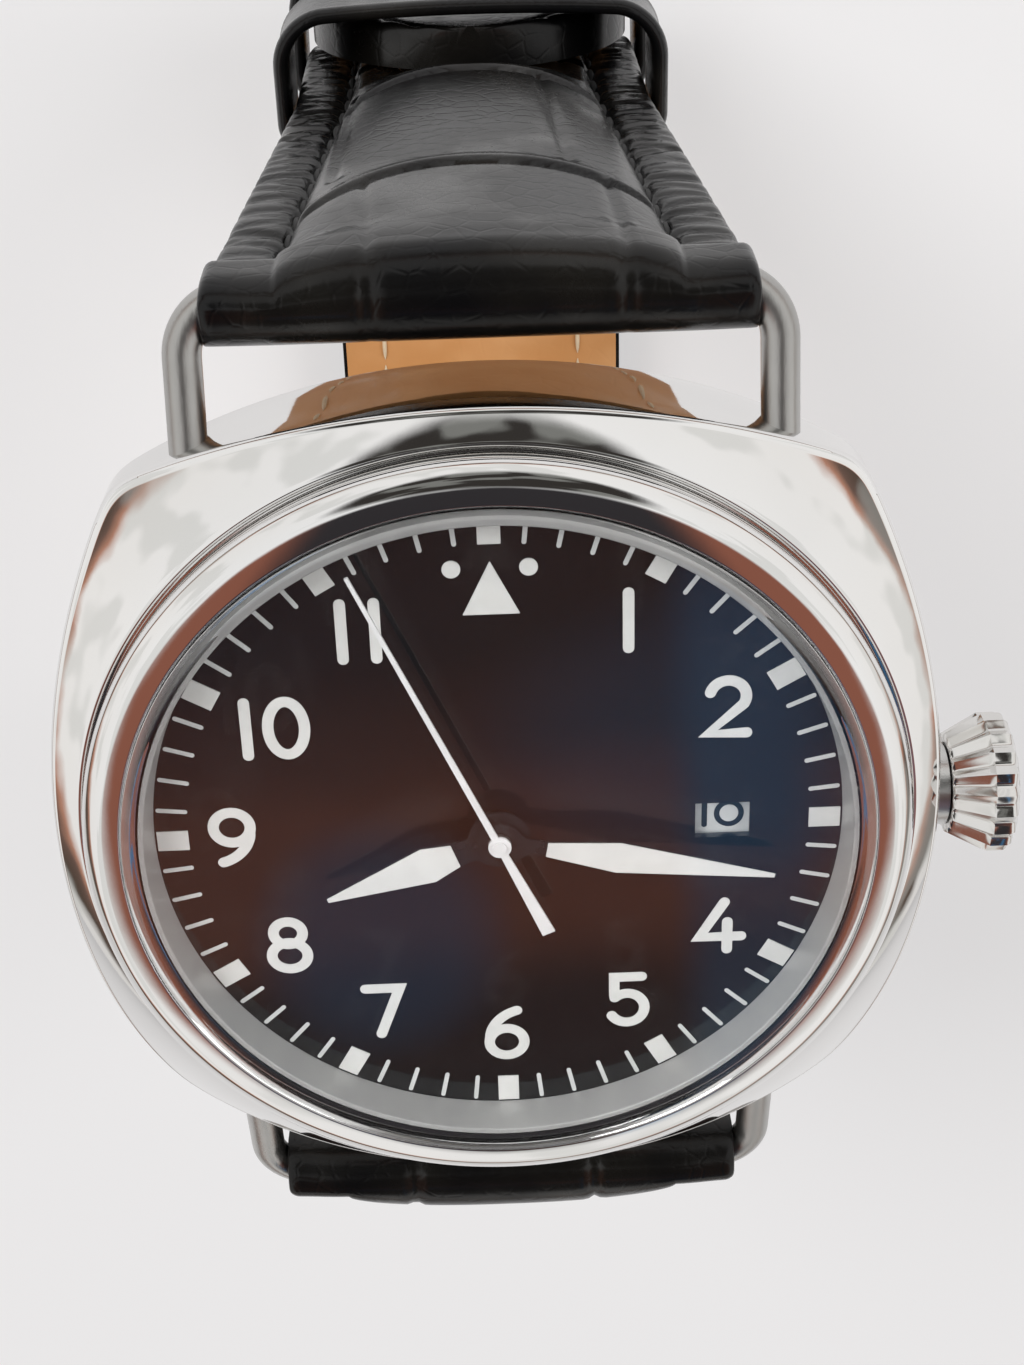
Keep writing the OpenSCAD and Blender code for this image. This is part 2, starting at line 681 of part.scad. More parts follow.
// Main plate, ring and bridges
stem_pocket_x = 7.3;
stem_pocket_l = 3.6;
stem_pocket_w = 2.7;
stem_hole_x = 5;
module main_plate() {
    color("silver") head() {
        difference() {
            disc(movement_r, plate_low_z, plate_top_z);
            disc(tube_out_r + run_gap, plate_low_z - 1, plate_top_z + 1);
            for (p = [barrel_at, third_at, escape_at, pallet_at, balance_at])
                translate(p) disc(pivot_r + 0.03, plate_low_z - 1, plate_low_z + 0.4);
            translate(barrel_at) disc(barrel_arbor_r + run_gap, plate_low_z - 1, plate_low_z + 0.5);
            for (p = concat(train_pillars, barrel_pillars, [cock_foot_at, pallet_foot_at]))
                translate(p) disc(screw_r + seat_gap, plate_low_z - 1, plate_low_z + 0.8);
            for (p = feet) translate(p) disc(foot_r + run_gap, plate_top_z - 0.7, plate_top_z + 1);
            along_stem(stem_hole_x) cylinder(r = stem_r + 0.07, h = movement_r);
            translate([stem_pocket_x, -stem_pocket_w / 2, plate_low_z - 1])
                cube([stem_pocket_l, stem_pocket_w, plate_t + 2]);
        }
        translate(minute_at) disc(post_r, plate_top_z - 0.1, hour_wheel_z + wheel_t + 0.05);
        ring(date_x - 2.35, date_x - 2.65, plate_top_z - 0.1, date_top_z - date_t - run_gap);
    }
}
module movement_ring() {
    color("lightgray") head() difference() {
        ring(bore_r - run_gap, movement_r + run_gap, back_lip_z + seat_gap, -dial_t - seat_gap);
        along_stem(stem_hole_x) cylinder(r = stem_r + 0.2, h = bore_r);
    }
}
module pillars(at, r = pillar_r, z0 = bridge_top_z) {
    for (p = at) translate(p) disc(r, z0, plate_low_z - seat_gap);
}
module screw_holes(at) {
    for (p = at) translate(p) disc(screw_r + seat_gap, bridge_low_z - 1, plate_low_z + 1);
}
module bearing_holes(at) {
    for (p = at) translate(p) disc(jewel_r + seat_gap, bridge_low_z - 1, bridge_top_z + 0.01);
}
module cock_outline(r) {
    hull() {
        translate(balance_at) circle(r = r, $fn = 32);
        translate(cock_foot_at) circle(r = r, $fn = 32);
    }
}
bridge_r = 12.4;
split_y = 1.35;
module train_bridge() {
    color("lightgray") head() difference() {
        union() {
            translate([0, 0, bridge_low_z]) linear_extrude(bridge_t) difference() {
                intersection() {
                    circle(r = bridge_r);
                    translate([-bridge_r, split_y - 2 * bridge_r]) square(2 * bridge_r);
                }
                cock_outline(1.75);
                translate([-bridge_r - 1, -bridge_r - 1]) square([bridge_r - 3, bridge_r - 3]);
            }
            pillars(train_pillars);
        }
        screw_holes(train_pillars);
        bearing_holes([[0, 0], third_at, escape_at]);
    }
}
module barrel_bridge() {
    color("lightgray") head() difference() {
        union() {
            translate([0, 0, bridge_low_z]) linear_extrude(bridge_t) intersection() {
                circle(r = bridge_r);
                translate([-bridge_r, split_y + 0.2]) square(2 * bridge_r);
            }
            pillars(barrel_pillars);
        }
        screw_holes(barrel_pillars);
        translate(barrel_at) disc(barrel_arbor_r + run_gap, bridge_low_z - 1, bridge_top_z + 1);
    }
}
module balance_cock() {
    color("lightgray") head() difference() {
        union() {
            translate([0, 0, bridge_low_z]) linear_extrude(bridge_t) cock_outline(1.5);
            pillars([cock_foot_at]);
            translate(balance_at + cock_dir * (hair_last_r + hair_w + seat_gap + stud_r))
                disc(stud_r, bridge_low_z + bridge_t / 2, hairspring_z + hair_h);
        }
        screw_holes([cock_foot_at]);
        bearing_holes([balance_at]);
    }
}
pallet_bridge_z = plate_low_z - 1.27;
module pallet_bridge() {
    color("lightgray") head() difference() {
        union() {
            translate([0, 0, pallet_bridge_z]) linear_extrude(0.2) hull() {
                translate(pallet_at) circle(r = 0.6, $fn = 32);
                translate(pallet_foot_at) circle(r = 0.7, $fn = 32);
            }
            pillars([pallet_foot_at], 0.6, pallet_bridge_z + 0.1);
        }
        translate(pallet_foot_at) disc(screw_r + seat_gap, bridge_low_z, plate_low_z + 1);
        translate(pallet_at) disc(pivot_r + 0.03, bridge_low_z, plate_low_z - 1);
    }
}
module slotted_screw(head_z, tip_z, head_r = 0.7) {
    difference() {
        union() {
            disc(head_r, head_z - 0.22, head_z - seat_gap / 2);
            disc(screw_r, head_z - 0.1, tip_z);
        }
        translate([-head_r, -0.09, head_z - 0.3]) cube([2 * head_r, 0.18, 0.16]);
    }
}
module bridge_screws() {
    color("steelblue") head() {
        for (p = concat(train_pillars, barrel_pillars, [cock_foot_at]))
            translate(p) slotted_screw(bridge_low_z, plate_low_z + 0.7);
        translate(pallet_foot_at) slotted_screw(pallet_bridge_z, plate_low_z + 0.7, 0.5);
    }
}
module jewel_bearings() {
    color("crimson") head()
        for (p = [[0, 0], third_at, escape_at, balance_at])
            translate(p) ring(jewel_r, pivot_r + 0.03, bridge_low_z + 0.05, bridge_top_z - 0.02);
}

// Going train
module arbor(z0, z1) {
    disc(arbor_r, z0 + 0.1, z1 - 0.1);
    disc(pivot_r, z0 - 0.3, z1 + 0.3);
}
module mainspring_barrel() {
    color("goldenrod") head() translate(barrel_at) {
        pinion(barrel_teeth, barrel_mod, barrel_a + deg_half, plate_low_z - 0.45, plate_low_z - 0.15);
        disc(barrel_r, barrel_z0, plate_low_z - 0.3);
        disc(barrel_arbor_r, bridge_low_z + 0.05, plate_low_z + 0.4);
    }
}
module centre_wheel() {
    color("goldenrod") head() difference() {
        union() {
            wheel(centre_teeth, third_mod, third_a, centre_wheel_z, tube_in_r);
            pinion(centre_leaves, barrel_mod, barrel_a + half_tooth(centre_leaves),
                plate_low_z - 0.55, plate_low_z - 0.08);
            disc(tube_out_r, centre_wheel_z, plate_top_z + 0.45);
        }
        disc(tube_in_r, centre_wheel_z - 1, 0);
    }
}
module third_wheel() {
    color("goldenrod") head() translate(third_at) {
        wheel(third_teeth, fourth_mod, third_a + deg_half, third_wheel_z, arbor_r - run_gap);
        pinion(train_leaves, third_mod, third_a + half_tooth(train_leaves),
            centre_wheel_z - 0.1, centre_wheel_z + wheel_t + 0.1);
        arbor(bridge_top_z, plate_low_z);
    }
}
module fourth_wheel() {
    color("goldenrod") head() {
        wheel(fourth_teeth, escape_mod, escape_a, fourth_wheel_z, 0.1);
        pinion(train_leaves, fourth_mod, third_a + half_tooth(train_leaves),
            third_wheel_z - 0.08, third_wheel_z + wheel_t + 0.08);
        disc(arbor_r, bridge_top_z + 0.1, third_wheel_z);
        disc(pivot_r, bridge_top_z - 0.3, third_wheel_z);
        disc(seconds_r, third_wheel_z, seconds_z + hand_t - 0.02);
    }
}
module escape_wheel() {
    tooth = deg_full / escape_teeth;
    color("gold") head() translate(escape_at) {
        translate([0, 0, escape_wheel_z]) linear_extrude(wheel_t) union() {
            difference() {
                polygon([for (i = [0 : escape_teeth - 1]) let (a = lever_a + (i + 0.5) * tooth)
                    each [polar(escape_r - 0.5, a - 0.32 * tooth), polar(escape_r, a - 0.06 * tooth),
                        polar(escape_r, a + 0.08 * tooth), polar(escape_r - 0.5, a + 0.12 * tooth)]]);
                circle(r = escape_r - 0.7);
            }
            for (i = [0 : 3]) rotate(i * 90) translate([0, -0.12]) square([escape_r - 0.6, 0.24]);
            circle(r = 0.4);
        }
        pinion(escape_leaves, escape_mod, escape_a + deg_half + half_tooth(escape_leaves),
            fourth_wheel_z - 0.07, fourth_wheel_z + wheel_t + 0.07);
        arbor(bridge_top_z, plate_low_z);
    }
}
module pallet_fork() {
    color("silver") head() translate(pallet_at) rotate([0, 0, lever_a]) {
        translate([0, 0, escape_wheel_z]) linear_extrude(wheel_t) union() {
            circle(r = 0.25);
            translate([0, -0.1]) square([1.05, 0.2]);
            for (side = [-1, 1]) {
                polygon([[1, side * 0.02], [1, side * 0.32], [1.38, side * 0.32], [1.38, side * 0.17],
                    [1.15, side * 0.17]]);
                polygon([[0.12, side * 0.05], [0.12, side * 1.2], [-0.3, side * 1.25], [-0.5, side * 1.14],
                    [-0.46, side * 0.99], [-0.16, side * 0.98], [-0.12, side * 0.05]]);
            }
        }
        disc(pivot_r, pallet_bridge_z, plate_low_z + 0.3);
    }
}
balance_z = pallet_bridge_z - 0.3;
hairspring_z = balance_z - 0.3;
module balance_wheel() {
    color("gold") head() translate(balance_at) {
        translate([0, 0, balance_z]) linear_extrude(0.25) union() {
            difference() {
                circle(r = balance_r);
                circle(r = balance_r - 0.45);
            }
            for (a = [0, 90]) rotate(lever_a + 45 + a) square([2 * balance_r - 0.4, 0.4], center = true);
            circle(r = 0.8);
        }
        arbor(bridge_top_z, plate_low_z);
        rotate([0, 0, lever_a]) translate([-0.62, 0, 0])
            disc(0.09, balance_z + 0.1, escape_wheel_z + wheel_t);
        disc(0.5, hairspring_z, balance_z + 0.1);
    }
}
module hairspring() {
    steps = 20 * hair_turns;
    start_a = atan2(cock_dir[1], cock_dir[0]);
    color("steelblue") head() translate([balance_at[0], balance_at[1], hairspring_z]) linear_extrude(hair_h)
        polygon([for (side = [0, 1]) for (k = [0 : steps]) let (i = side > 0 ? steps - k : k)
            polar(mix(hair_first_r, hair_last_r, i / steps) + side * hair_w,
                start_a + i * deg_full * hair_turns / steps)]);
}

// Oscillating weight
rotor_top_z = bridge_low_z - 0.3;
bearing_r = 1.5;
rotor_at = 200;
rim_w = 1.6;
module rotor_bearing() {
    color("silver") head() ring(bearing_r, 0.4, rotor_top_z - 0.35, bridge_low_z - seat_gap);
}
module rotor() {
    color("silver") head() difference() {
        union() {
            disc(2.6, rotor_top_z - 0.3, rotor_top_z);
            translate([0, 0, rotor_top_z]) rotate([0, 0, rotor_at]) rotate_extrude(angle = deg_half)
                polygon([[2, -0.3], [rotor_r - rim_w, -0.3], [rotor_r - rim_w, -0.65], [rotor_r, -0.65],
                    [rotor_r, 0], [2, 0]]);
        }
        disc(bearing_r + 0.06, rotor_top_z - 1, rotor_top_z + 1);
    }
}

// Stem, crown and the wheels on the stem
square_w = 0.72;
square_from = 5.2;
square_to = 10;
clutch_x = 7.6;
winding_x = 9.05;
face_teeth = 14;
face_mod = 0.14;
face_gap = 0.1;
crown_x = case_w / 2 + crown_gap;
crown_bore_l = crown_travel + 0.65;
stem_end = crown_x + crown_bore_l + 0.45;
module along_stem(x) {
    translate([x, 0, stem_z]) rotate([0, 90, 0]) children();
}
module winding_stem() {
    color("silver") head() {
        translate([square_from, -square_w / 2, stem_z - square_w / 2])
            cube([square_to - square_from, square_w, square_w]);
        along_stem(square_to) cylinder(r = stem_r, h = stem_end - square_to);
    }
}
// The toothed face that clutch wheel and winding pinion turn towards each other
module face_gear(l) {
    linear_extrude(l) polygon(teeth(face_teeth, face_mod, 0, 0.5, 0.5, 0.3, 0.7));
}
module clutch_wheel() {
    hole = square_w + 2 * 0.04;
    color("goldenrod") head() difference() {
        union() {
            along_stem(clutch_x) cylinder(r = 0.85, h = 0.5);
            along_stem(clutch_x + 0.4) cylinder(r = 0.75, h = 0.7);
            along_stem(winding_x - face_gap - 0.45) face_gear(0.45);
        }
        translate([clutch_x - 1, -hole / 2, stem_z - hole / 2]) cube([4, hole, hole]);
    }
}
module winding_pinion() {
    color("goldenrod") head() difference() {
        union() {
            along_stem(winding_x) face_gear(0.3);
            along_stem(winding_x + 0.25) linear_extrude(0.6)
                polygon(teeth(16, 0.13, 0, 0.6, 0.8, 0.25, 0.65));
        }
        along_stem(winding_x - 0.05) cylinder(r = stem_r + 0.04, h = 2);
    }
}
crown_bore_r = 1.48;
crown_seal_l = 0.26;
collar_r = 2.05;
module crown_tube() {
    flank = case_w / 2;
    color("silver") head() difference() {
        union() {
            along_stem(bore_r + 0.1) cylinder(r = tube_r, h = flank - bore_r);
            along_stem(flank + seat_gap) cylinder(r = collar_r, h = crown_gap - 0.09);
            along_stem(flank) cylinder(r = crown_bore_r - 0.06,
                h = crown_gap + crown_bore_l - crown_seal_l - 0.09);
        }
        along_stem(0) cylinder(r = stem_r + 0.07, h = 30);
    }
}
module crown() {
    rim_x = crown_cone_l;
    end_x = rim_x + crown_rim_l;
    flute_r = 0.5;
    edge = 0.15;
    lean = atan2(crown_r - crown_small_r, crown_cone_l);
    color("silver") head() along_stem(crown_x) difference() {
        rotate_extrude($fn = 120) polygon(concat([[0, 0], [crown_small_r - 0.1, 0], [crown_small_r, 0.1],
            [crown_r - 0.05, rim_x], [crown_r, rim_x + 0.1], [crown_r, end_x - edge]],
            bow([crown_r - edge, end_x], [0, end_x + crown_dome_h], edge, 6)));
        translate([0, 0, -1]) cylinder(r = crown_bore_r, h = crown_bore_l + 1);
        cylinder(r = stem_r + seat_gap, h = stem_end - crown_x + seat_gap);
        for (i = [0 : flutes - 1]) rotate([0, 0, i * deg_full / flutes]) {
            translate([crown_small_r + flute_r - flute_depth, 0, -0.3]) rotate([0, lean, 0])
                cylinder(r = flute_r, h = crown_cone_l * 1.25, $fn = 24);
            translate([crown_r + flute_r - flute_depth * 0.7, 0, rim_x + 0.05])
                cylinder(r = flute_r, h = crown_rim_l + 1, $fn = 24);
        }
    }
}
module crown_gasket() {
    color("black") head() along_stem(crown_x + crown_bore_l - crown_seal_l - seat_gap) difference() {
        cylinder(r = crown_bore_r - 0.03, h = crown_seal_l);
        translate([0, 0, -1]) cylinder(r = 0.75, h = 2);
    }
}

// Strap: rings of points carried along the loop. A ring point is [x, height above the inside],
// and a station is [place along the loop, extra height, ring].
glue_gap = 0.03;
inlay_h = lining_t + glue_gap;
taper_from = 4;
taper_part = taper_l - 2 * taper_from;
function width_at(s) = mix(strap_w, strap_end_w, clamp01((s - taper_from) / taper_part));
// Outer side of a padded strap: flat margins, a stitching channel and a crowned middle
function padded_ring(w, base, margin, pad) =
    let (e = w / 2, k = min(1, w / strap_end_w), c = e - margin_w * k,
        crowned = [for (t = [0.4, 0.72, 0.93]) [c * t, margin + (pad - margin) * pow(1 - t * t, 0.45)]],
        flat = [[c, margin - 0.25], [c + 0.7 * k, margin], [e - 0.35 * k, margin]],
        right = concat(crowned, flat, [[e, margin - 0.4], [e, base]]))
    concat([[0, pad]], right, [for (i = [len(right) - 1 : -1 : 0]) [-right[i][0], right[i][1]]]);
function flat_ring(w, low, high) = [[w / 2, high], [w / 2, low], [-w / 2, low], [-w / 2, high]];
function place_ring(station) = let (p = loop_at(station[0]), lift = station[1])
    [for (v = station[2]) [v[0], p[0] + (v[1] + lift) * cos(p[2]), p[1] + (v[1] + lift) * sin(p[2])]];
module skin(stations) {
    rings = [for (st = stations) place_ring(st)];
    n = len(rings[0]);
    m = len(rings);
    polyhedron(
        points = [for (r = rings) each r],
        faces = concat([[for (j = [0 : n - 1]) j]], [[for (j = [0 : n - 1]) m * n - 1 - j]],
            [for (i = [0 : m - 2]) for (j = [0 : n - 1])
                let (k = (j + 1) % n, a = i * n, b = a + n)
                each [[a + j, b + k, a + k], [a + j, b + j, b + k]]]),
        convexity = 6);
}
fold_t = 2 * wrap_r;
fold_full_l = 1.4;
pad_from = wrap_l + 0.6;
pad_fall_l = 7;
folded_s = [0, fold_full_l / 2, fold_full_l, wrap_l - 0.6, wrap_l, pad_from];
// Thickness of the margins and of the padding, u along a half from its bar. The padding fills out
// right behind the fold, and the margins are pressed thin there.
function margin_at(u) = let (from = wrap_l / 2)
    mix(fold_t - 3 * fold_press, margin_t, smooth((u - from) / (pad_from - from)));
function filled(u, pad) = mix(fold_t - 0.1, pad, smooth(u / fold_full_l));
function short_pad(s) = filled(s, mix(pad_t, short_end_t, smooth((s - pad_hold) / pad_fall_l)));
short_s = concat(folded_s, [for (i = [1 : 3]) mix(pad_from, pad_hold, i / 3)],
    [for (i = [1 : 4]) mix(pad_hold, pad_hold + pad_fall_l, i / 4)], [36, 40, side_l],
    [for (i = [1 : 6]) mix(side_l, hinge_s, i / 6)]);
// A fold round the strap bar, thinner at its ends and cut out for the wire and its bends
module bar_sleeve() {
    difference() {
        union() {
            children();
            translate([0, bar_y, bar_z]) rotate([0, 90, 0]) rotate_extrude() polygon([
                [0, -strap_w / 2], [wrap_r - fold_press, -strap_w / 2], [wrap_r, margin_w - strap_w / 2],
                [wrap_r, strap_w / 2 - margin_w], [wrap_r - fold_press, strap_w / 2], [0, strap_w / 2]]);
        }
        lug_wire_body(wire_r + run_gap);
    }
}
module strap_short_upper() {
    hinge = hinge_place();
    slot_w = tongue_w + 0.6;
    color([0.08, 0.08, 0.08]) head() difference() {
        union() {
            bar_sleeve()
                skin([for (s = short_s) [s, 0, padded_ring(width_at(s), s < 1 ? 0 : inlay_h,
                    margin_at(s), short_pad(s))]]);
            translate([-strap_end_w / 2, hinge[0], hinge[1]]) rotate([0, 90, 0])
                cylinder(r = hinge_h - seat_gap, h = strap_end_w);
        }
        translate([-strap_w / 2, hinge[0], hinge[1]]) rotate([0, 90, 0])
            cylinder(r = spring_bar_r + seat_gap, h = strap_w);
        translate([-slot_w / 2, hinge[0], hinge[1]]) rotate([0, 90, 0]) cylinder(r = 3, h = slot_w);
    }
}
module strap_short_lining() {
    color("peru") head() skin([for (s = short_s) if (s > 2 && s < hinge_s - 2)
        [s, 0, flat_ring(width_at(s), 0, lining_t)]]);
}

// Long half: measured from the same end of the loop, so that its tail lies on the short half
tail_lift = short_end_t + 0.25;
ramp_from = floor_start + 3.2;
ramp_to = floor_start - arc_l(corner_r, hinge_up - 3);
long_pad_end = floor_end - floor_pad_l;
rest_sink = 0.5;
pad_step_l = 5;
tip_s = tail_end + tail_w / 2;
tail_taper_l = 20;
function lift_at(s) = tail_lift * smooth((ramp_from - s) / (ramp_from - ramp_to));
function long_u(s) = loop_l - s;
function long_pad(s) = filled(long_u(s), mix(tail_t + tail_crown, rest_h + rest_sink,
    smooth((s - long_pad_end + pad_step_l) / pad_step_l)));
function long_width(s) = s > tip_s
    ? min(width_at(long_u(s)), mix(tail_w, strap_end_w, clamp01((s - tip_s) / tail_taper_l)))
    : 2 * sqrt(max(pow(tail_w / 2, 2) - pow(tip_s - s, 2), 0.5));
long_down = concat([for (u = concat(folded_s, [14, 22, 32])) loop_l - u],
    [for (i = [0 : 8]) mix(loop_l - far_side_l, floor_end, i / 8)],
    [mix(floor_end, long_pad_end, 0.5)],
    [for (i = [0 : 3]) long_pad_end - i * pad_step_l / 3],
    [for (i = [0 : 8]) mix(ramp_from, ramp_to, i / 8)],
    [for (i = [1 : 5]) mix(ramp_to, side_l, i / 5)],
    [for (t = [0, 0.3, 0.55, 0.75, 0.9, 0.97, 1]) mix(tip_s - 1, tail_end, t)]);
long_s = [for (i = [len(long_down) - 1 : -1 : 0]) long_down[i]];
tongue_s = floor_start + 0.5;
module adjustment_holes() {
    for (k = [-3 : holes - 4]) if (k != 0) let (s = tongue_s + k * hole_pitch, p = loop_at(s))
        translate([0, p[0] + lift_at(s) * cos(p[2]), p[1] + lift_at(s) * sin(p[2])])
            rotate([p[2] - 90, 0, 0]) translate([0, 0, -1]) cylinder(d = hole_d, h = tail_t + 2, $fn = 32);
    at_hinge() translate([-tongue_w / 2 - 0.2, 3.2, -4]) cube([tongue_w + 0.4, 6.1, 9]);
}
module strap_long_upper() {
    color([0.08, 0.08, 0.08]) head() difference() {
        at_end(-1) bar_sleeve() at_end(-1)
            skin([for (s = long_s) [s, lift_at(s), padded_ring(long_width(s), long_u(s) < 1 ? 0 : inlay_h,
                margin_at(long_u(s)), long_pad(s))]]);
        adjustment_holes();
        translate([-50, -50, -dial_z - 10]) cube([100, 100, 10]);
    }
}
module strap_long_lining() {
    color("peru") head() difference() {
        skin([for (s = long_s) if (long_u(s) > 2) [s, lift_at(s), flat_ring(long_width(s), 0, lining_t)]]);
        adjustment_holes();
    }
}

// Keepers: bands square to the loop at the middle of their width, round over the tail
keeper_gap = 0.25;
keeper_round = 2.2;
module keeper(s, l, low, high) {
    p = loop_at(s + l / 2);
    inner = strap_end_w / 2 + keeper_gap;
    out = inner + keeper_t;
    translate([0, p[0], p[1]]) rotate([p[2] - 90, 0, 0]) translate([0, l / 2, 0]) rotate([90, 0, 0])
        linear_extrude(l) difference() {
            polygon(soften([[-out, low - keeper_t, 1.2], [out, low - keeper_t, 1.2],
                [out, high + keeper_t, keeper_round + keeper_t],
                [-out, high + keeper_t, keeper_round + keeper_t]]));
            polygon(soften([[-inner, low, 0.3], [inner, low, 0.3],
                [inner, high, keeper_round], [-inner, high, keeper_round]]));
        }
}
keeper_low = -0.3;
keeper_high = tail_lift + tail_t + 0.35;
keeper_slack = 0.35;
module floating_keeper() {
    color([0.08, 0.08, 0.08]) head() keeper(keeper_s, keeper_l, keeper_low, keeper_high);
}
module fixed_keeper() {
    color([0.08, 0.08, 0.08]) head()
        keeper(fixed_keeper_s, fixed_keeper_l, keeper_low - 0.05, keeper_high + keeper_slack);
}

// Buckle: its frame is drawn with the hinge at the origin and +Y towards the front bar
function hinge_place() = let (p = loop_at(hinge_s))
    [p[0] + hinge_h * cos(p[2]), p[1] + hinge_h * sin(p[2])];
buckle_drop = asin((hinge_place()[1] - (loop_low_z - front_bar_h)) / buckle_l);
module at_hinge() {
    translate([0, hinge_place()[0], hinge_place()[1]]) rotate([deg_half + buckle_drop, 0, 0]) children();
}
rail_in = strap_end_w / 2 + 0.4;
notch_z = front_bar_r - 0.9;
// Two round ends joined by their common tangents
function rail_outline(r0, r1, l, n = 12) = let (a = acos((r0 - r1) / l))
    concat([for (i = [0 : n]) polar(r0, mix(a, deg_full - a, i / n))],
        [for (i = [0 : n]) [l, 0] + polar(r1, mix(-a, a, i / n))]);
module buckle_frame() {
    color("silver") head() at_hinge() difference() {
        union() {
            for (side = [-1, 1]) translate([side * (rail_in + rail_w / 2) - rail_w / 2, 0, 0])
                rotate([90, 0, 90]) linear_extrude(rail_w)
                    polygon(rail_outline(1.5, front_bar_r, buckle_l));
            translate([-rail_in, buckle_l, 0]) rotate([0, 90, 0])
                cylinder(r = front_bar_r, h = 2 * rail_in);
        }
        translate([-strap_w, 0, 0]) rotate([0, 90, 0])
            cylinder(r = spring_bar_r + run_gap, h = 2 * strap_w);
        translate([-tongue_w / 2 - 0.15, buckle_l - 2, notch_z]) cube([tongue_w + 0.3, 4, 2]);
    }
}
module spring_bar() {
    color("silver") head() at_hinge() translate([-rail_in - rail_w + 0.2, 0, 0]) rotate([0, 90, 0])
        cylinder(r = spring_bar_r, h = 2 * (rail_in + rail_w - 0.2));
}
module buckle_tongue() {
    color("silver") head() at_hinge() difference() {
        union() {
            translate([-tongue_w / 2, 0, 0]) rotate([0, 90, 0]) cylinder(r = 1.2, h = tongue_w);
            translate([tongue_w / 2, 0, 0]) rotate([90, 0, -90]) linear_extrude(tongue_w)
                polygon([[0, 0.2], [0, 1.2], [-buckle_l, front_bar_r], [-buckle_l - 0.8, front_bar_r - 0.3],
                    [-buckle_l - 1.2, notch_z + 0.3], [-buckle_l - 1.1, notch_z + run_gap],
                    [-buckle_l * 0.7, notch_z + run_gap], [-1.2, 0]]);
        }
        translate([-tongue_w, 0, 0]) rotate([0, 90, 0])
            cylinder(r = spring_bar_r + run_gap, h = 2 * tongue_w);
    }
}

case_body();
bezel();
crystal();
crystal_gasket();
flange_ring();
crown_tube();
case_back();
case_back_gasket();
lug_wire_upper();
lug_wire_lower();
dial();
hour_markers();
date_disc();
hour_hand();
hour_hand_lume();
minute_hand();
minute_hand_lume();
seconds_hand();
hour_wheel();
cannon_pinion();
minute_wheel();
movement_ring();
main_plate();
barrel_bridge();
train_bridge();
balance_cock();
pallet_bridge();
bridge_screws();
jewel_bearings();
mainspring_barrel();
centre_wheel();
third_wheel();
fourth_wheel();
escape_wheel();
pallet_fork();
balance_wheel();
hairspring();
rotor_bearing();
rotor();
clutch_wheel();
winding_pinion();
winding_stem();
crown();
crown_gasket();
strap_short_upper();
strap_short_lining();
strap_long_upper();
strap_long_lining();
fixed_keeper();
floating_keeper();
buckle_frame();
buckle_tongue();
spring_bar();
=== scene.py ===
# %% [markdown]
# # A wristwatch standing on its closed strap
#
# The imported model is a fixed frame: every node already sits where it belongs, in metres, with +Z
# out of the dial and +Y to twelve. This lesson dresses that frame. Rigid pieces whose solids are
# right keep them and get a better finish. The leather, the polished shells and everything printed
# on the dial are made again here, finer, as surfaces worked out with numpy.

# %% Load the frame
import json
import math
import bmesh
import bpy
import numpy as np
from mathutils import Matrix, Vector


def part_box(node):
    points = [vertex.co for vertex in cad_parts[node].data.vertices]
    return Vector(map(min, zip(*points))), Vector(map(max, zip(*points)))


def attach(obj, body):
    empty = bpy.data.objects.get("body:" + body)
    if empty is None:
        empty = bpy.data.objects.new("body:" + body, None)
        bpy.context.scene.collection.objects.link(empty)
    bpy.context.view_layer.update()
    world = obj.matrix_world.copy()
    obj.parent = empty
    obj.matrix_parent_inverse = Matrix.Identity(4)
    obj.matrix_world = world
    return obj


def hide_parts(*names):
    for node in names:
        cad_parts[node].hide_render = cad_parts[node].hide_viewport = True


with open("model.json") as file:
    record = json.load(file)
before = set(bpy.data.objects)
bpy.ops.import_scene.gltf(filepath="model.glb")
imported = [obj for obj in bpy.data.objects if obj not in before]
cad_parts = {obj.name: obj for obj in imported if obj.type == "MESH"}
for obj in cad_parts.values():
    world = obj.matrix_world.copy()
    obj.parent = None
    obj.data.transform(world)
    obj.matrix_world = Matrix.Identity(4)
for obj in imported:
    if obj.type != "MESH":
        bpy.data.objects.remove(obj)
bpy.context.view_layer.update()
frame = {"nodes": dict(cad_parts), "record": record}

nodes = frame["nodes"]
MM = 0.001
DIAL_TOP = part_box("dial")[1].z
print("nodes:", len(nodes), "dial top at", round(DIAL_TOP / MM, 3), "mm")

# %% [markdown]
# ## The camera
#
# The photograph is taken from above the twelve side, looking down and toward six. Fitting the
# round dial and the case gave the camera's three axes and its place, which is counted from the
# hand axis at the top of the dial.

# %% Camera
scene = bpy.context.scene


def placed(name, data):
    """A new object in the scene."""
    made = bpy.data.objects.new(name, data)
    scene.collection.objects.link(made)
    return made


CAMERA_AT = (-0.037, 51.447, 82.424)
CAMERA_RIGHT = Vector((0.99928, -0.02803, 0.02563))
CAMERA_UP = Vector((0.03677, 0.88274, -0.46843))
CAMERA_FORWARD = Vector((0.00950, -0.46903, -0.88313))
LENS_MM, SENSOR_MM = 52.445, 36

eye = bpy.data.cameras.new("camera")
eye.lens = LENS_MM
eye.sensor_width = SENSOR_MM
eye.clip_start, eye.clip_end = 0.005, 20
camera = placed("camera", eye)
turn = Matrix((CAMERA_RIGHT, CAMERA_UP, -CAMERA_FORWARD)).transposed().to_4x4()
place = Vector(CAMERA_AT) * MM + Vector((0, 0, DIAL_TOP))
camera.matrix_world = Matrix.Translation(place) @ turn
scene.camera = camera
scene.view_settings.view_transform = "Standard"
print("camera at", [round(v / MM, 1) for v in camera.location], "mm")

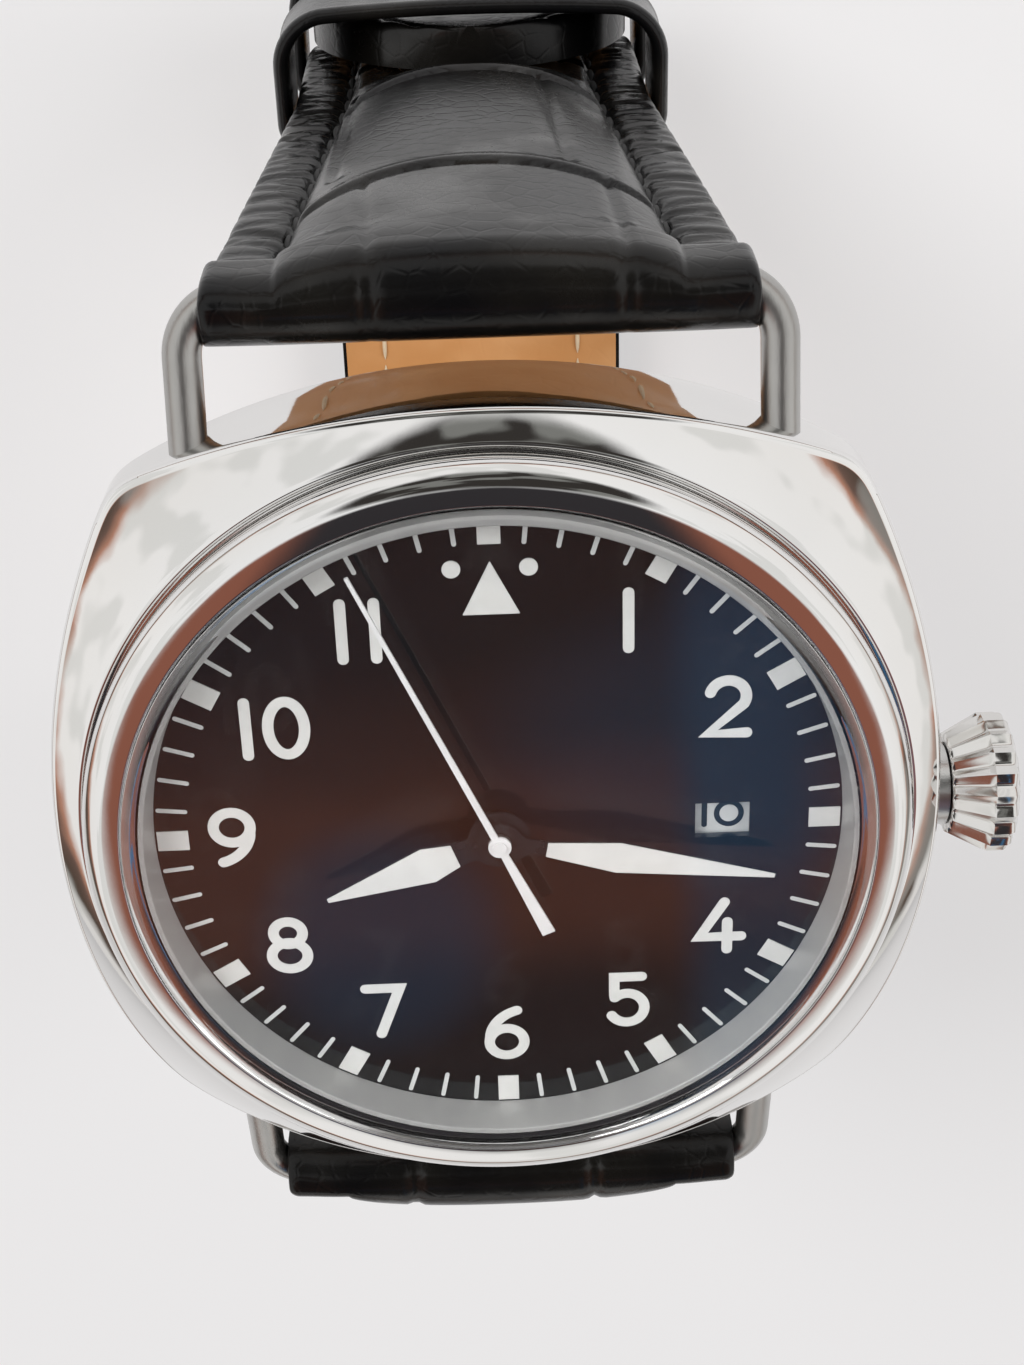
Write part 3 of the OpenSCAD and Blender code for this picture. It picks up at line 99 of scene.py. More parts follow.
# %% [markdown]
# ## Finishes as written sums
#
# A finish is a small net of shader nodes. Written as plain sums it stays readable, so one class
# wraps a socket: adding or multiplying it adds the Math node that does the sum. Every other kind
# of node comes from one method.

# %% Socket sums and the finish
class Value:
    """A socket that can be used in a sum: each operator adds the Math node of that name."""
    def __init__(self, net, socket):
        self.net, self.socket = net, socket

    def math(self, operation, *terms):
        return self.net.add("Math", dict(enumerate(terms)), operation=operation)

    def __add__(self, other):
        return self.math("ADD", self, other)

    def __sub__(self, other):
        return self.math("SUBTRACT", self, other)

    def __rsub__(self, other):
        return self.math("SUBTRACT", other, self)

    def __mul__(self, other):
        return self.math("MULTIPLY", self, other)

    def top(self, other):
        """The larger of the two."""
        return self.math("MAXIMUM", self, other)

    def step(self, low, high):
        """0 below low, 1 above high, with a soft ramp between them."""
        return self.net.add("MapRange", {"Value": self, "From Min": low, "From Max": high},
                            interpolation_type="SMOOTHSTEP")


class Net:
    """The node tree of a material or of the world."""
    def __init__(self, owner):
        owner.use_nodes = True
        self.tree = owner.node_tree
        self.tree.nodes.clear()

    def add(self, kind, inputs=None, out=0, **settings):
        """Adds one node: its settings, such as an operation or a ramp's stops, then its sockets,
        where a number stays on the socket and a Value is linked."""
        node = self.tree.nodes.new("ShaderNode" + kind)
        for key, value in settings.items():
            if key == "stops":
                ramp = node.color_ramp.elements
                while len(ramp) < len(value):
                    ramp.new(0.5)
                for stop, (at, colour) in zip(ramp, value):
                    stop.position, stop.color = at, (*colour, 1)
            else:
                setattr(node, key, value)
        for key, value in (inputs or {}).items():
            if isinstance(value, Value):
                self.tree.links.new(value.socket, node.inputs[key])
            else:
                node.inputs[key].default_value = value
        return Value(self, node.outputs[out])

    def spot(self):
        """The place on the object, in metres."""
        return self.add("TexCoord", out="Object")

    def ray(self, kind):
        """1 for rays of one kind, 0 for all others."""
        return self.add("LightPath", out=f"Is {kind} Ray")

    def blend(self, factor, first, second):
        """One colour where the factor is 0, the other where it is 1. The Mix node keeps its
        colours on inputs 6 and 7 and on output 2."""
        wide = [c if isinstance(c, Value) else (*c, 1) for c in (first, second)]
        return self.add("Mix", {0: factor, 6: wide[0], 7: wide[1]}, 2, data_type="RGBA")

    def noise(self, where, scale, detail=3, rough=0.55, stretch=(1, 1, 1)):
        spot = self.add("Mapping", {"Vector": where, "Scale": stretch})
        return self.add("TexNoise", {"Vector": spot, "Scale": scale, "Detail": detail, "Roughness": rough})

    def bump(self, height, strength, distance):
        return self.add("Bump", {"Height": height, "Strength": strength, "Distance": distance})

    def finish_with(self, shader, kind="Material"):
        end = self.tree.nodes.new("ShaderNodeOutput" + kind)
        self.tree.links.new(shader.socket, end.inputs["Surface"])


def finish(name, recipe):
    """A material from recipe(net), which returns a shader, or the sockets of a plain one."""
    material = bpy.data.materials.new(name)
    net = Net(material)
    sockets = recipe(net)
    if isinstance(sockets, dict):
        sockets = net.add("BsdfPrincipled", sockets)
    net.finish_with(sockets)
    return material


# %% [markdown]
# ## A plain studio
#
# The photograph has a pale table in window light, so the floor is white and keeps the soft shadow
# of the watch. Polished steel and a black dial need something to mirror, so the sky is white
# overhead, dark and red-brown at the horizon, and dark where the onlooker with the camera stands.
# The dial faces a room of its own: dark above, brown across the middle and blue at two spots. The
# camera sees plain white behind the watch, and matt things get less light from the sky than
# polished ones show.

# %% Floor
FLOOR_HALF = 1.5
FLOOR_COLOUR = (0.86, 0.855, 0.86)
SHOWN_WHITE = 0.45


def floor_recipe(net):
    """Part of the floor's light is its own for the camera, so that a pale floor shows pale."""
    seen = net.ray("Camera").top(net.ray("Glossy")).top(net.ray("Transmission"))
    grain = net.noise(net.spot(), 8, 2)
    colour = net.blend(grain.step(0.3, 0.7), FLOOR_COLOUR, [c * 0.985 for c in FLOOR_COLOUR])
    lit = net.add("BsdfDiffuse", {"Color": colour})
    own = net.add("Emission", {"Color": (0.93, 0.925, 0.93, 1), "Strength": 1})
    return net.add("MixShader", {0: seen * SHOWN_WHITE, 1: lit, 2: own})


floor_mesh = bpy.data.meshes.new("floor")
corners = FLOOR_HALF * np.array([[-1, -1, 0], [1, -1, 0], [1, 1, 0], [-1, 1, 0]])
floor_mesh.from_pydata(corners.tolist(), [], [(0, 1, 2, 3)])
floor_mesh.materials.append(finish("floor", floor_recipe))
floor = placed("floor", floor_mesh)

# %% Sky and lamps
SKY_STRENGTH, MIRRORED_SKY = 0.62, 1.0
MIRRORED_ROOM = (0.01, -0.45, 0.89)
BLUE_SPOT = (-0.075, -0.585, 0.807)
ONLOOKER = (0.02, 0.47, 0.88)
SEEN_BEHIND = (0.80, 0.795, 0.80)
ROOM_DARK, ROOM_BROWN, ROOM_BLUE = (0.035, 0.032, 0.035), (0.28, 0.105, 0.07), (0.05, 0.17, 0.33)
ONLOOKER_DARK, CLOUD_GREY = (0.04, 0.036, 0.033), (0.55, 0.56, 0.53)
LAMPS_AIM = Vector((0, 0, 0.05))
HORIZON = [(0.0, (0.8, 0.78, 0.76)), (0.05, (0.09, 0.065, 0.05)), (0.12, (0.16, 0.10, 0.08)),
           (0.17, (0.50, 0.25, 0.17)), (0.22, (0.96, 0.94, 0.92)), (1.0, (1.0, 1.0, 1.0))]


def sky_recipe(net):
    """Each patch of the sky is where the ray's way, times a fixed one, steps past a limit. A
    noise moves the limits about, so that no patch has a clean edge."""
    way = net.add("TexCoord", out="Generated")
    x, y, z = [net.add("SeparateXYZ", {0: way}, axis) for axis in "XYZ"]
    stray = net.noise(way, 2.4) - 0.5

    def toward(spot):
        return net.add("VectorMath", {0: way, 1: spot}, "Value", operation="DOT_PRODUCT")

    colour = net.add("ValToRGB", {0: z + stray * 0.3}, stops=HORIZON)
    onlooker = (toward(ONLOOKER) + stray * 0.04).step(0.90, 0.945)
    colour = net.blend(onlooker, colour, ONLOOKER_DARK)
    cloud = net.noise(way, 3.1, 2).step(0.50, 0.58)
    colour = net.blend(cloud * 0.35, colour, CLOUD_GREY)
    low = (y + stray * 0.12) * -1
    brown = (low.step(0.46, 0.50) * (1 - low.step(0.57, 0.62))).top((x * x).step(0.05, 0.12))
    blue = x.step(0.10, 0.135) * (1 - x.step(0.17, 0.22)) * low.step(0.3, 0.4)
    blue = toward(BLUE_SPOT).step(0.9955, 0.9990).top(blue)
    room = net.blend(blue, net.blend(brown, ROOM_DARK, ROOM_BROWN), ROOM_BLUE)
    in_room = (toward(MIRRORED_ROOM) + stray * 0.08).step(0.80, 0.86)
    seen = net.ray("Camera")
    strength = net.ray("Glossy") * (MIRRORED_SKY - SKY_STRENGTH) + SKY_STRENGTH
    colour = net.blend(seen, net.blend(in_room, colour, room), SEEN_BEHIND)
    return net.add("Background", {"Color": colour, "Strength": strength.top(seen)})


world = bpy.data.worlds.new("studio")
scene.world = world
sky = Net(world)
sky.finish_with(sky_recipe(sky), "World")


def lamp(name, at, size, watts):
    """A soft square lamp at a place, in metres, that looks at the watch and isn't mirrored."""
    light = bpy.data.lights.new(name, "AREA")
    light.shape, light.size, light.energy = "SQUARE", size, watts
    body = placed(name, light)
    body.location = at
    body.visible_glossy = False
    body.rotation_euler = (LAMPS_AIM - Vector(at)).to_track_quat("-Z", "Y").to_euler()


lamp("window", (-0.55, 0.55, 0.75), 0.5, 6.0)
lamp("fill", (0.75, 0.25, 0.6), 0.6, 4.0)

# %% [markdown]
# ## Surfaces as whole arrays
#
# Three makers cover nearly every piece. A grid joins rows of points into squares. A lathe turns
# an outline round the hand axis. A tube carries a ring of points along a route. None of them
# visits single points: the arrays hold all the points at once. In every mesh the faces turn
# outwards.

# %% Mesh makers
def mesh_of(name, points, faces, merge=False):
    """A mesh from points in millimetres, counted from the top of the dial, and faces. merge
    makes one point of those that coincide, as on the axis of a lathe."""
    mesh = bpy.data.meshes.new(name)
    places = np.asarray(points, float) * MM + (0, 0, DIAL_TOP)
    mesh.from_pydata(places.tolist(), [], [tuple(face) for face in faces])
    shell = bmesh.new()
    shell.from_mesh(mesh)
    if merge:
        bmesh.ops.remove_doubles(shell, verts=shell.verts, dist=1e-7)
    bmesh.ops.recalc_face_normals(shell, faces=shell.faces)
    shell.to_mesh(mesh)
    shell.free()
    return mesh


def piece(name, shape, material, replaces=(), sharp=35, body="watch", merge=False):
    """Puts a shape, which is points and faces, into an object that rides on a body."""
    mesh = mesh_of(name, *shape, merge)
    mesh.polygons.foreach_set("use_smooth", np.ones(len(mesh.polygons), bool))
    mesh.set_sharp_from_angle(angle=math.radians(sharp))
    mesh.materials.append(material)
    made = placed(name, mesh)
    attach(made, body)
    if replaces:
        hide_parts(*replaces)
    print(f"{name}: {len(mesh.polygons)} faces")
    return made


def once_round(steps):
    """Even angles round a full circle."""
    return np.linspace(0, 2 * np.pi, steps, endpoint=False)


def grid_faces(rows, columns, close_rows=False, close_columns=False):
    """Squares between neighbouring points of a grid that is stored row after row."""
    i = np.arange(rows if close_rows else rows - 1)[:, None]
    j = np.arange(columns if close_columns else columns - 1)[None, :]
    k, n = (i + 1) % rows, (j + 1) % columns
    return np.stack([i * columns + j, k * columns + j, k * columns + n, i * columns + n],
                    -1).reshape(-1, 4)


def tube_faces(rings, around):
    """Faces of a tube that is stored ring after ring, with both ends closed."""
    ends = np.arange(rings * around).reshape(rings, around)[[0, -1]]
    return grid_faces(rings, around, False, True).tolist() + ends.tolist()


def eased(before, corner, after, steps=6):
    """Places on the parabola that starts before a corner and ends after it."""
    t = np.linspace(0, 1, steps).reshape(-1, *[1] * np.ndim(before))
    return (1 - t) ** 2 * before + 2 * t * (1 - t) * corner + t ** 2 * after


def rounded(corners, steps=5):
    """A polyline from (across, up, radius), eased from one radius before each corner to one
    radius after it."""
    spots = np.array([c[:2] for c in corners], float)
    line = [spots[:1]]
    for i, (_, _, r) in list(enumerate(corners))[1:-1]:
        ways = spots[[i - 1, i + 1]] - spots[i]
        reach = np.linalg.norm(ways, axis=1)[:, None]
        start, end = spots[i] + ways / reach * np.minimum(r, reach / 2)
        line.append(eased(start, spots[i], end, steps) if r else spots[i][None])
    return np.concatenate(line + [spots[-1:]])


def lathe(outline, steps=240, close=False):
    """Turns an outline (radius, height) round the axis: x = r cos a, y = r sin a."""
    a = once_round(steps)[:, None]
    r, z = outline[:, 0], outline[:, 1]
    points = np.stack([r * np.cos(a), r * np.sin(a), z + 0 * a], -1).reshape(-1, 3)
    return points, grid_faces(steps, len(outline), True, close)


def smooth(t):
    """0 below 0 and 1 above 1, with level ends: 3t2 - 2t3."""
    t = np.clip(t, 0, 1)
    return t * t * (3 - 2 * t)


# %% [markdown]
# ## Steel
#
# Polished steel is a bright metal with very little roughness. Hair scratches that only show in
# the gloss and a faint change of roughness from wiping make it look real. Brushed, turned and
# wire-drawn steel are the same metal with a rougher grain that may run one way.

# %% Steel finishes
def steel(name, colour, rough, grain, stretch=(1, 1, 1), scale=900):
    """Metal whose roughness wanders a little and whose grain is a fine bump."""
    def recipe(net):
        spot = net.spot()
        wipe = net.noise(spot, 60)
        hair = net.noise(spot, scale, 3, 0.6, stretch)
        shade = net.blend(wipe.step(0.3, 0.7), colour, [c * 0.94 for c in colour])
        return {"Base Color": shade, "Metallic": 1.0, "Normal": net.bump(hair, grain, 0.00004),
                "Roughness": wipe.step(0.3, 0.75) * (0.4 * rough) + (hair * 0.25 * rough + rough * 0.6)}
    return finish(name, recipe)


def flange_recipe(net):
    """Fine satin: part metal, part pale matt skin, so it stays light above a black dial."""
    grain = net.noise(net.spot(), 700, 2, 0.5, (1, 1, 0.1))
    return {"Base Color": net.blend(grain, (0.36, 0.36, 0.355), (0.44, 0.44, 0.43)), "Metallic": 0.35,
            "Roughness": grain * 0.1 + 0.36}


polished = steel("polished_steel", (0.83, 0.825, 0.815), 0.05, 0.03)
brushed = steel("brushed_steel", (0.74, 0.73, 0.71), 0.15, 0.12)
turned = steel("turned_steel", (0.62, 0.62, 0.61), 0.3, 0.2, (1, 1, 8))
wire_satin = steel("wire_satin", (0.47, 0.465, 0.45), 0.34, 0.3, (5, 1, 1))
flange_satin = finish("flange_satin", flange_recipe)

# %% [markdown]
# ## The case
#
# The case is a cushion: four big arcs make the sides and one circle blunts the corners. Its rim
# is one function of the angle, the smallest of the five distances, taken softly so that the edges
# catch light. The top falls from the bezel to the rim on a shallow dome, and the underside is
# tucked in to the case back. Every angle gets the same row of points, so the shell is one grid.
# Where the dome meets the edge a row comes twice, and the light breaks there.

# %% Case shell
CASE_W, SIDE_R, CORNER_R = 42.9, 38.2, 24.3
BEZEL_R, SEAT_Z = 19.8, 0.95
FOOT_R = BEZEL_R + 0.32
BORE_R, BORE_TOP, BACK_R, BACK_Z, BACK_BORE_R = 18.5, 2.1, 19.4, -6.5, 17.2
TOP_RIM_Z, UNDER_RIM_Z, EDGE_EASE, SOFTNESS = -2.6, -4.3, 0.16, 9.0


def rim_radius(a):
    """Distance from the axis to the rim: the soft least of four offset circles and one centred,
    which is minus the logarithm of the sum of exp(-distance)."""
    reach = SIDE_R - CASE_W / 2
    all_sides = []
    for k in range(4):
        along = -reach * np.cos(a - k * np.pi / 2)
        all_sides.append(along + np.sqrt(along ** 2 - reach ** 2 + SIDE_R ** 2))
    all_sides.append(np.full_like(a, CORNER_R))
    return -np.log(sum(np.exp(-SOFTNESS * (s - 20)) for s in all_sides)) / SOFTNESS + 20


def bowed(r, start, end, sag):
    """Height on a shallow arch between two (radius, height) points."""
    t = (r - start[0]) / (end[0] - start[0])
    rise = 4 * sag * t * (1 - t) * math.hypot(1, (end[1] - start[1]) / (end[0] - start[0]))
    return start[1] + t * (end[1] - start[1]) + rise


def case_shell():
    """Rows of (radius, height) at every angle: bore and seat, dome, side, underside, back."""
    angles = once_round(720)
    rim = rim_radius(angles)
    dome = lambda r: bowed(r, (BEZEL_R + 0.3, 1.2), (CORNER_R + 0.2, TOP_RIM_Z), 0.25)
    under = lambda r: bowed(r, (BACK_R, BACK_Z), (CORNER_R + 0.2, UNDER_RIM_Z), -0.45)
    pair = lambda r, z: np.stack([r + 0 * rim, z + 0 * rim], -1)
    inner = rim - EDGE_EASE
    rows = [pair(BORE_R, BORE_TOP), pair(BORE_R, SEAT_Z), pair(BEZEL_R + 0.12, SEAT_Z),
            pair(BEZEL_R + 0.13, 1.14), pair(BEZEL_R + 0.2, 1.2)]
    for t in np.linspace(0, 1, 14):
        r = FOOT_R + t * (inner - FOOT_R)
        rows.append(pair(r, dome(r)))
    top, low = dome(rim), under(rim)
    rows += list(eased(pair(inner, dome(inner)), pair(rim, top), pair(rim, top - EDGE_EASE)))
    for t in (0.25, 0.5, 0.75):
        rows.append(pair(rim, top + t * (low - top)))
    rows += list(eased(pair(rim, low + EDGE_EASE), pair(rim, low), pair(inner, under(inner))))
    for t in np.linspace(0, 1, 10)[1:]:
        r = inner + t * (BACK_R - inner)
        rows.append(pair(r, under(r)))
    rows += [pair(BACK_R - 0.2, BACK_Z - 0.2), pair(BACK_BORE_R, BACK_Z - 0.2), pair(BACK_BORE_R, BORE_TOP)]
    r, z = np.moveaxis(rows, -1, 0)
    points = np.stack([r * np.cos(angles), r * np.sin(angles), z], -1).reshape(-1, 3)
    return points, grid_faces(len(rows), len(angles), True, True)


piece("case_shell", case_shell(), polished, ["case_body"], 50)

# %% [markdown]
# ## Bezel, flange and crystal
#
# All three are turned pieces. The bezel has a steep rounded flank and a nearly flat top that
# slopes up to the crystal. The flange is the satin wall between dial and crystal. The crystal is
# flat with a ground edge, and it lets shadow rays through, so that the dial is lit.

# %% Bezel, flange, gasket
bezel_outline = rounded([
    (18.52, 0.97, 0), (BEZEL_R, 0.97, 0.12), (BEZEL_R, 2.36, 0.3), (19.11, 2.9, 0.4),
    (17.92, 3.15, 0.12), (17.92, 2.95, 0), (18.26, 2.95, 0), (18.26, 2.2, 0), (18.52, 2.2, 0)], 8)
piece("bezel_ring", lathe(bezel_outline, 360, True), polished, ["bezel"], 50)

flange_outline = rounded([(16.45, 0.03, 0.05), (16.82, 2.17, 0.1), (17.08, 2.17, 0), (17.08, 0.03, 0)])
piece("flange_wall", lathe(flange_outline, 360, True), flange_satin, ["flange_ring"])

# %% Crystal
def crystal_recipe(net):
    """Clear glass that casts no shadow, with a faint wiped film in its gloss."""
    film = net.noise(net.spot(), 90, 2)
    glass = net.add("BsdfPrincipled", {
        "Base Color": net.blend(film, (0.985, 0.99, 0.995), (1, 1, 1)), "Roughness": film * 0.01,
        "IOR": 1.72, "Transmission Weight": 1.0})
    clear = net.add("BsdfTransparent")
    return net.add("MixShader", {0: net.ray("Shadow"), 1: glass, 2: clear})


crystal = finish("crystal", crystal_recipe)
crystal_outline = rounded([(0, 2.2, 0), (17.87, 2.2, 0.05), (17.87, 3.17, 0.08),
                           (17.37, 3.4, 0.12), (0, 3.4, 0)])
piece("crystal_plate", lathe(crystal_outline), crystal, ["crystal"], 30, merge=True)

# %% [markdown]
# ## Crown and wire lugs
#
# The crown is a cone with twenty flutes that run on over its rim. A flute is a V with two flat
# flanks, so the crown's radius is a function of the angle and of the distance along the stem.
# The lugs are bent wire, a tube carried along bar, bend and leg.

# %% Crown
CROWN_X, STEM_Z, FLUTES = 22.15, -2.15, 20
CONE_L, RIM_L, SMALL_R, RIM_R, CROWN_SKIN = 1.9, 1.0, 2.5, 3.5, 0.04


def crown_shell():
    """Radius = that of cone or rim, less a flute, on a grid of rows and angles. CROWN_SKIN is
    what the surface stays inside its solid."""
    slope = (RIM_R - SMALL_R) / CONE_L
    small_r, rim_r, end = SMALL_R - CROWN_SKIN, RIM_R - CROWN_SKIN, CONE_L + RIM_L
    small = [(0.0, 1.6, 0), (0.0, small_r, 0.12), (CONE_L, rim_r, 0)]
    large = [(CONE_L, rim_r, 0), (end, rim_r, 0.24), (end + 0.5, 2.0, 0.9), (end + 0.6, 0.001, 0)]
    cone = np.linspace(0.16, CONE_L - 0.04, 14)[:, None]
    cone = np.concatenate([cone, small_r + cone * slope], 1)
    rows = np.concatenate([rounded(small, 8)[:-1], cone, rounded(large, 10)])
    a = once_round(FLUTES * 18)
    ridge = np.abs((a * FLUTES / (2 * np.pi)) % 1 - 0.5) * 2
    scoop = np.clip(1 - ridge, 0, 0.92) ** 0.9
    x, r = rows[:, 0][:, None], rows[:, 1][:, None]
    on_cone = smooth((x + 0.15) / 0.3) * smooth((r - 2.1) / 0.3)
    on_rim = smooth((x - CONE_L + 0.15) / 0.2)
    wide = r - on_cone * (0.36 - 0.10 * on_rim) * scoop[None]
    points = np.stack([CROWN_X + x + 0 * wide, wide * np.cos(a), STEM_Z + wide * np.sin(a)], -1)
    return points.reshape(-1, 3), grid_faces(len(rows), len(a), False, True)


piece("crown_head", crown_shell(), brushed, ["crown"], 40, "crown_stem")

# %% Tube carried along a route
def tube(route, radius, around):
    """A round tube along a bent route in one plane: a circle is carried by the plane's normal and
    by the way that is square to both the normal and the route."""
    ahead = np.gradient(route, axis=0)
    ahead /= np.linalg.norm(ahead, axis=1)[:, None]
    normal = np.cross(ahead[0], route[-1] - route[0])
    normal /= np.linalg.norm(normal)
    a = once_round(around)[:, None]
    rings = route[:, None] + radius * (np.cos(a) * np.cross(ahead, normal)[:, None] + np.sin(a) * normal)
    return rings.reshape(-1, 3), tube_faces(len(route), around)


# %% Wire lugs
WIRE_R, BAR_Y, BAR_Z, LEG_X, BEND_R = 0.9, 25.3, -4.5, 13.5, 2.6
LEG_SLOPE, LEG_L = math.radians(14.218), 8.115


def lug_route(side):
    """Half a lug from the middle of the bar, round its bend, down the leg into the case."""
    down = np.array([0, -math.cos(LEG_SLOPE), math.sin(LEG_SLOPE)])
    bar = np.array([[x, BAR_Y, BAR_Z] for x in np.linspace(0, LEG_X - BEND_R, 10)[:-1]])
    a = np.linspace(0, np.pi / 2, 22)[:, None]
    centre = np.array([LEG_X - BEND_R, BAR_Y, BAR_Z])
    bend = centre + BEND_R * (np.sin(a) * (1, 0, 0) + (1 - np.cos(a)) * down)
    leg = bend[-1] + np.linspace(0, LEG_L - BEND_R, 8)[1:, None] * down
    half = np.concatenate([bar, bend, leg])
    whole = np.concatenate([half[::-1] * (-1, 1, 1), half[1:]])
    return whole * (side, side, 1)


for side, node in ((1, "lug_wire_upper"), (-1, "lug_wire_lower")):
    piece(node + "_wire", tube(lug_route(side), WIRE_R, 28), wire_satin, [node], 50)

# %% [markdown]
# ## What is printed on the dial
#
# A numeral is a list of lines and arcs, and each of them becomes a flat ribbon with half-round
# ends that stands a hair above the dial. A line that ends where it began becomes a hoop, which
# has no ends to cross. The same pen draws the minute marks and, thinner and black, the numbers
# of the date disc.

# %% A pen with a round tip
def arc(cx, cy, rx, ry, start, end, steps=22):
    """Points on an ellipse from one angle to another, in degrees."""
    a = np.radians(np.linspace(start, end, steps))
    return np.stack([cx + rx * np.cos(a), cy + ry * np.sin(a)], -1)


def join(*parts):
    """One line from points and arcs, in their order."""
    return np.concatenate([np.atleast_2d(np.array(p, float)) for p in parts])


FIGURES = {
    "0": [arc(0, 0, 0.31, 0.5, 0, 360, 61)],
    "1": [join((0, -0.5), (0, 0.5))],
    "2": [join(arc(0, 0.2, 0.31, 0.3, 165, -30, 18), (-0.33, -0.5), (0.33, -0.5))],
    "3": [join(arc(0, 0.23, 0.28, 0.27, 150, -90, 18)), join(arc(0, -0.2, 0.31, 0.3, 90, -150, 20))],
    "4": [join((0.07, 0.5), (-0.37, -0.23), (0.38, -0.23)), join((0.13, 0.08), (0.13, -0.5))],
    "5": [join((0.26, 0.5), (-0.24, 0.5), (-0.24, 0.1)), arc(-0.01, -0.18, 0.32, 0.32, 134, -150, 24)],
    "6": [arc(0, -0.2, 0.32, 0.3, 0, 360, 49), join(arc(0.4, -0.14, 0.71, 0.66, 106, 172, 14))],
    "7": [join((-0.31, 0.5), (0.31, 0.5), (-0.07, -0.5))],
    "8": [arc(0, 0.26, 0.26, 0.24, 0, 360, 45), arc(0, -0.22, 0.32, 0.28, 0, 360, 49)],
}
FIGURES["9"] = [-stroke for stroke in FIGURES["6"]]


def ribbon(line, width, low, high):
    """A raised ribbon along a line, with half-round ends: a top face and a wall round it."""
    line = np.asarray(line, float)
    step = np.diff(line, axis=0)
    step /= np.linalg.norm(step, axis=1)[:, None]
    ahead = np.concatenate([step[:1], step[:-1] + step[1:], step[-1:]])
    ahead /= np.linalg.norm(ahead, axis=1)[:, None]
    bend = np.clip((1 + (step[:-1] * step[1:]).sum(1)) / 2, 0.3, 1)
    turn_cos = np.concatenate([[1], np.sqrt(bend), [1]])
    left = np.stack([-ahead[:, 1], ahead[:, 0]], -1) * (width / 2 / turn_cos)[:, None]
    cap = np.radians(np.linspace(90, 0, 6))[1:, None]

    def end(at, way):
        middle, across = line[at] + way * ahead[at] * width / 2 * np.cos(cap), left[at] * np.sin(cap)
        return np.stack([middle + across, middle - across], 1)

    pairs = np.concatenate([end(0, -1)[::-1], np.stack([line + left, line - left], 1), end(-1, 1)])
    n = len(pairs)
    rim = np.concatenate([pairs[:, 0], pairs[::-1, 1]])
    points = np.concatenate([np.c_[rim, np.full(2 * n, z)] for z in (high, low)])
    i = np.arange(n - 1)
    top = np.stack([i, i + 1, 2 * n - 2 - i, 2 * n - 1 - i], -1)
    return points, np.concatenate([top, grid_faces(2, 2 * n, False, True)])


def hoop(line, width, low, high):
    """A ribbon along a closed line, the same point first and last: no ends, two walls."""
    line = np.asarray(line, float)[:-1]
    ahead = np.roll(line, -1, 0) - np.roll(line, 1, 0)
    ahead /= np.linalg.norm(ahead, axis=1)[:, None]
    left = np.stack([-ahead[:, 1], ahead[:, 0]], -1) * width / 2
    n = len(line)
    ring = lambda side, z: np.c_[line + side * left, np.full(n, z)]
    points = np.concatenate([ring(1, low), ring(1, high), ring(-1, high), ring(-1, low)])
    return points, grid_faces(4, n, False, True)


def gather(shapes):
    """Several shapes in one."""
    firsts = np.cumsum([0] + [len(points) for points, _ in shapes])
    faces = [[v + first for v in face] for (_, some), first in zip(shapes, firsts) for face in some]
    return np.concatenate([points for points, _ in shapes]), faces


def drawn(text, at, height, width, stroke, low, high, spread=1.0, turn=0.0):
    """A number: figures side by side, centred, then turned and placed. Each stroke stands a hair
    higher than the one before, so that none share a plane."""
    widths = np.array([0.35 if figure == "1" else 1.0 for figure in text])
    places = np.cumsum(widths) - widths / 2 - widths.sum() / 2
    c, s = math.cos(turn), math.sin(turn)
    parts = []
    for figure, place in zip(text, places):
        for line in FIGURES[figure]:
            flat = (line * (width, height) + (place * spread, 0)) @ np.array([[c, s], [-s, c]]) + at
            pen = hoop if np.allclose(line[0], line[-1]) else ribbon
            parts.append(pen(flat, stroke, low, high + 0.003 * len(parts)))
    return parts


# %% Numerals and minute marks
def paint(name, colour, rough, lumps=0.5, scale=700):
    """Paint with a faint mottle and a slightly uneven skin."""
    def recipe(net):
        mottle = net.noise(net.spot(), scale)
        return {"Base Color": net.blend(mottle.step(0.3, 0.7), colour, [c * 0.93 for c in colour]),
                "Roughness": mottle * 0.15 + (rough - 0.07),
                "Normal": net.bump(mottle, lumps, 0.00003)}
    return finish(name, recipe)


lume = paint("lume", (0.66, 0.66, 0.64), 0.6)
print_white = paint("white_print", (0.60, 0.61, 0.60), 0.5, 0.2)
print_black = paint("date_print", (0.012, 0.012, 0.015), 0.5, 0.2)

NUMERAL_H, NUMERAL_W, PEN = 2.78, 2.75, 0.53
NUMERAL_AT = {"1": (6.22, 10.8), "2": (10.84, 6.15), "4": (10.71, -6.1), "5": (6.13, -10.36),
              "6": (0, -12.14), "7": (-6.12, -10.5), "8": (-10.56, -6.3), "9": (-12.75, 0.04),
              "10": (-10.35, 5.88), "11": (-6.08, 10.73)}
FIGURE_SHIFTS = {"10": (-1.25, 0.62), "11": (-0.77, 0.77)}
parts = []
for text, (x, y) in NUMERAL_AT.items():
    for figure, shift in zip(text, FIGURE_SHIFTS.get(text, (0,))):
        parts += drawn(figure, (x + shift, y), NUMERAL_H, NUMERAL_W, PEN, 0, 0.03)
piece("numerals", gather(parts), lume)

TICK_R, TICK_L, TICK_W = 15.6, 1.5, 0.22
tick = TICK_R + (TICK_L - TICK_W) / 2 * np.array([[-1], [1]])
ways = np.radians([90 - 6 * minute for minute in range(60) if minute % 5])
parts = [ribbon(tick * (math.cos(a), math.sin(a)), TICK_W, 0, 0.02) for a in ways]
piece("minute_marks", gather(parts), print_white)

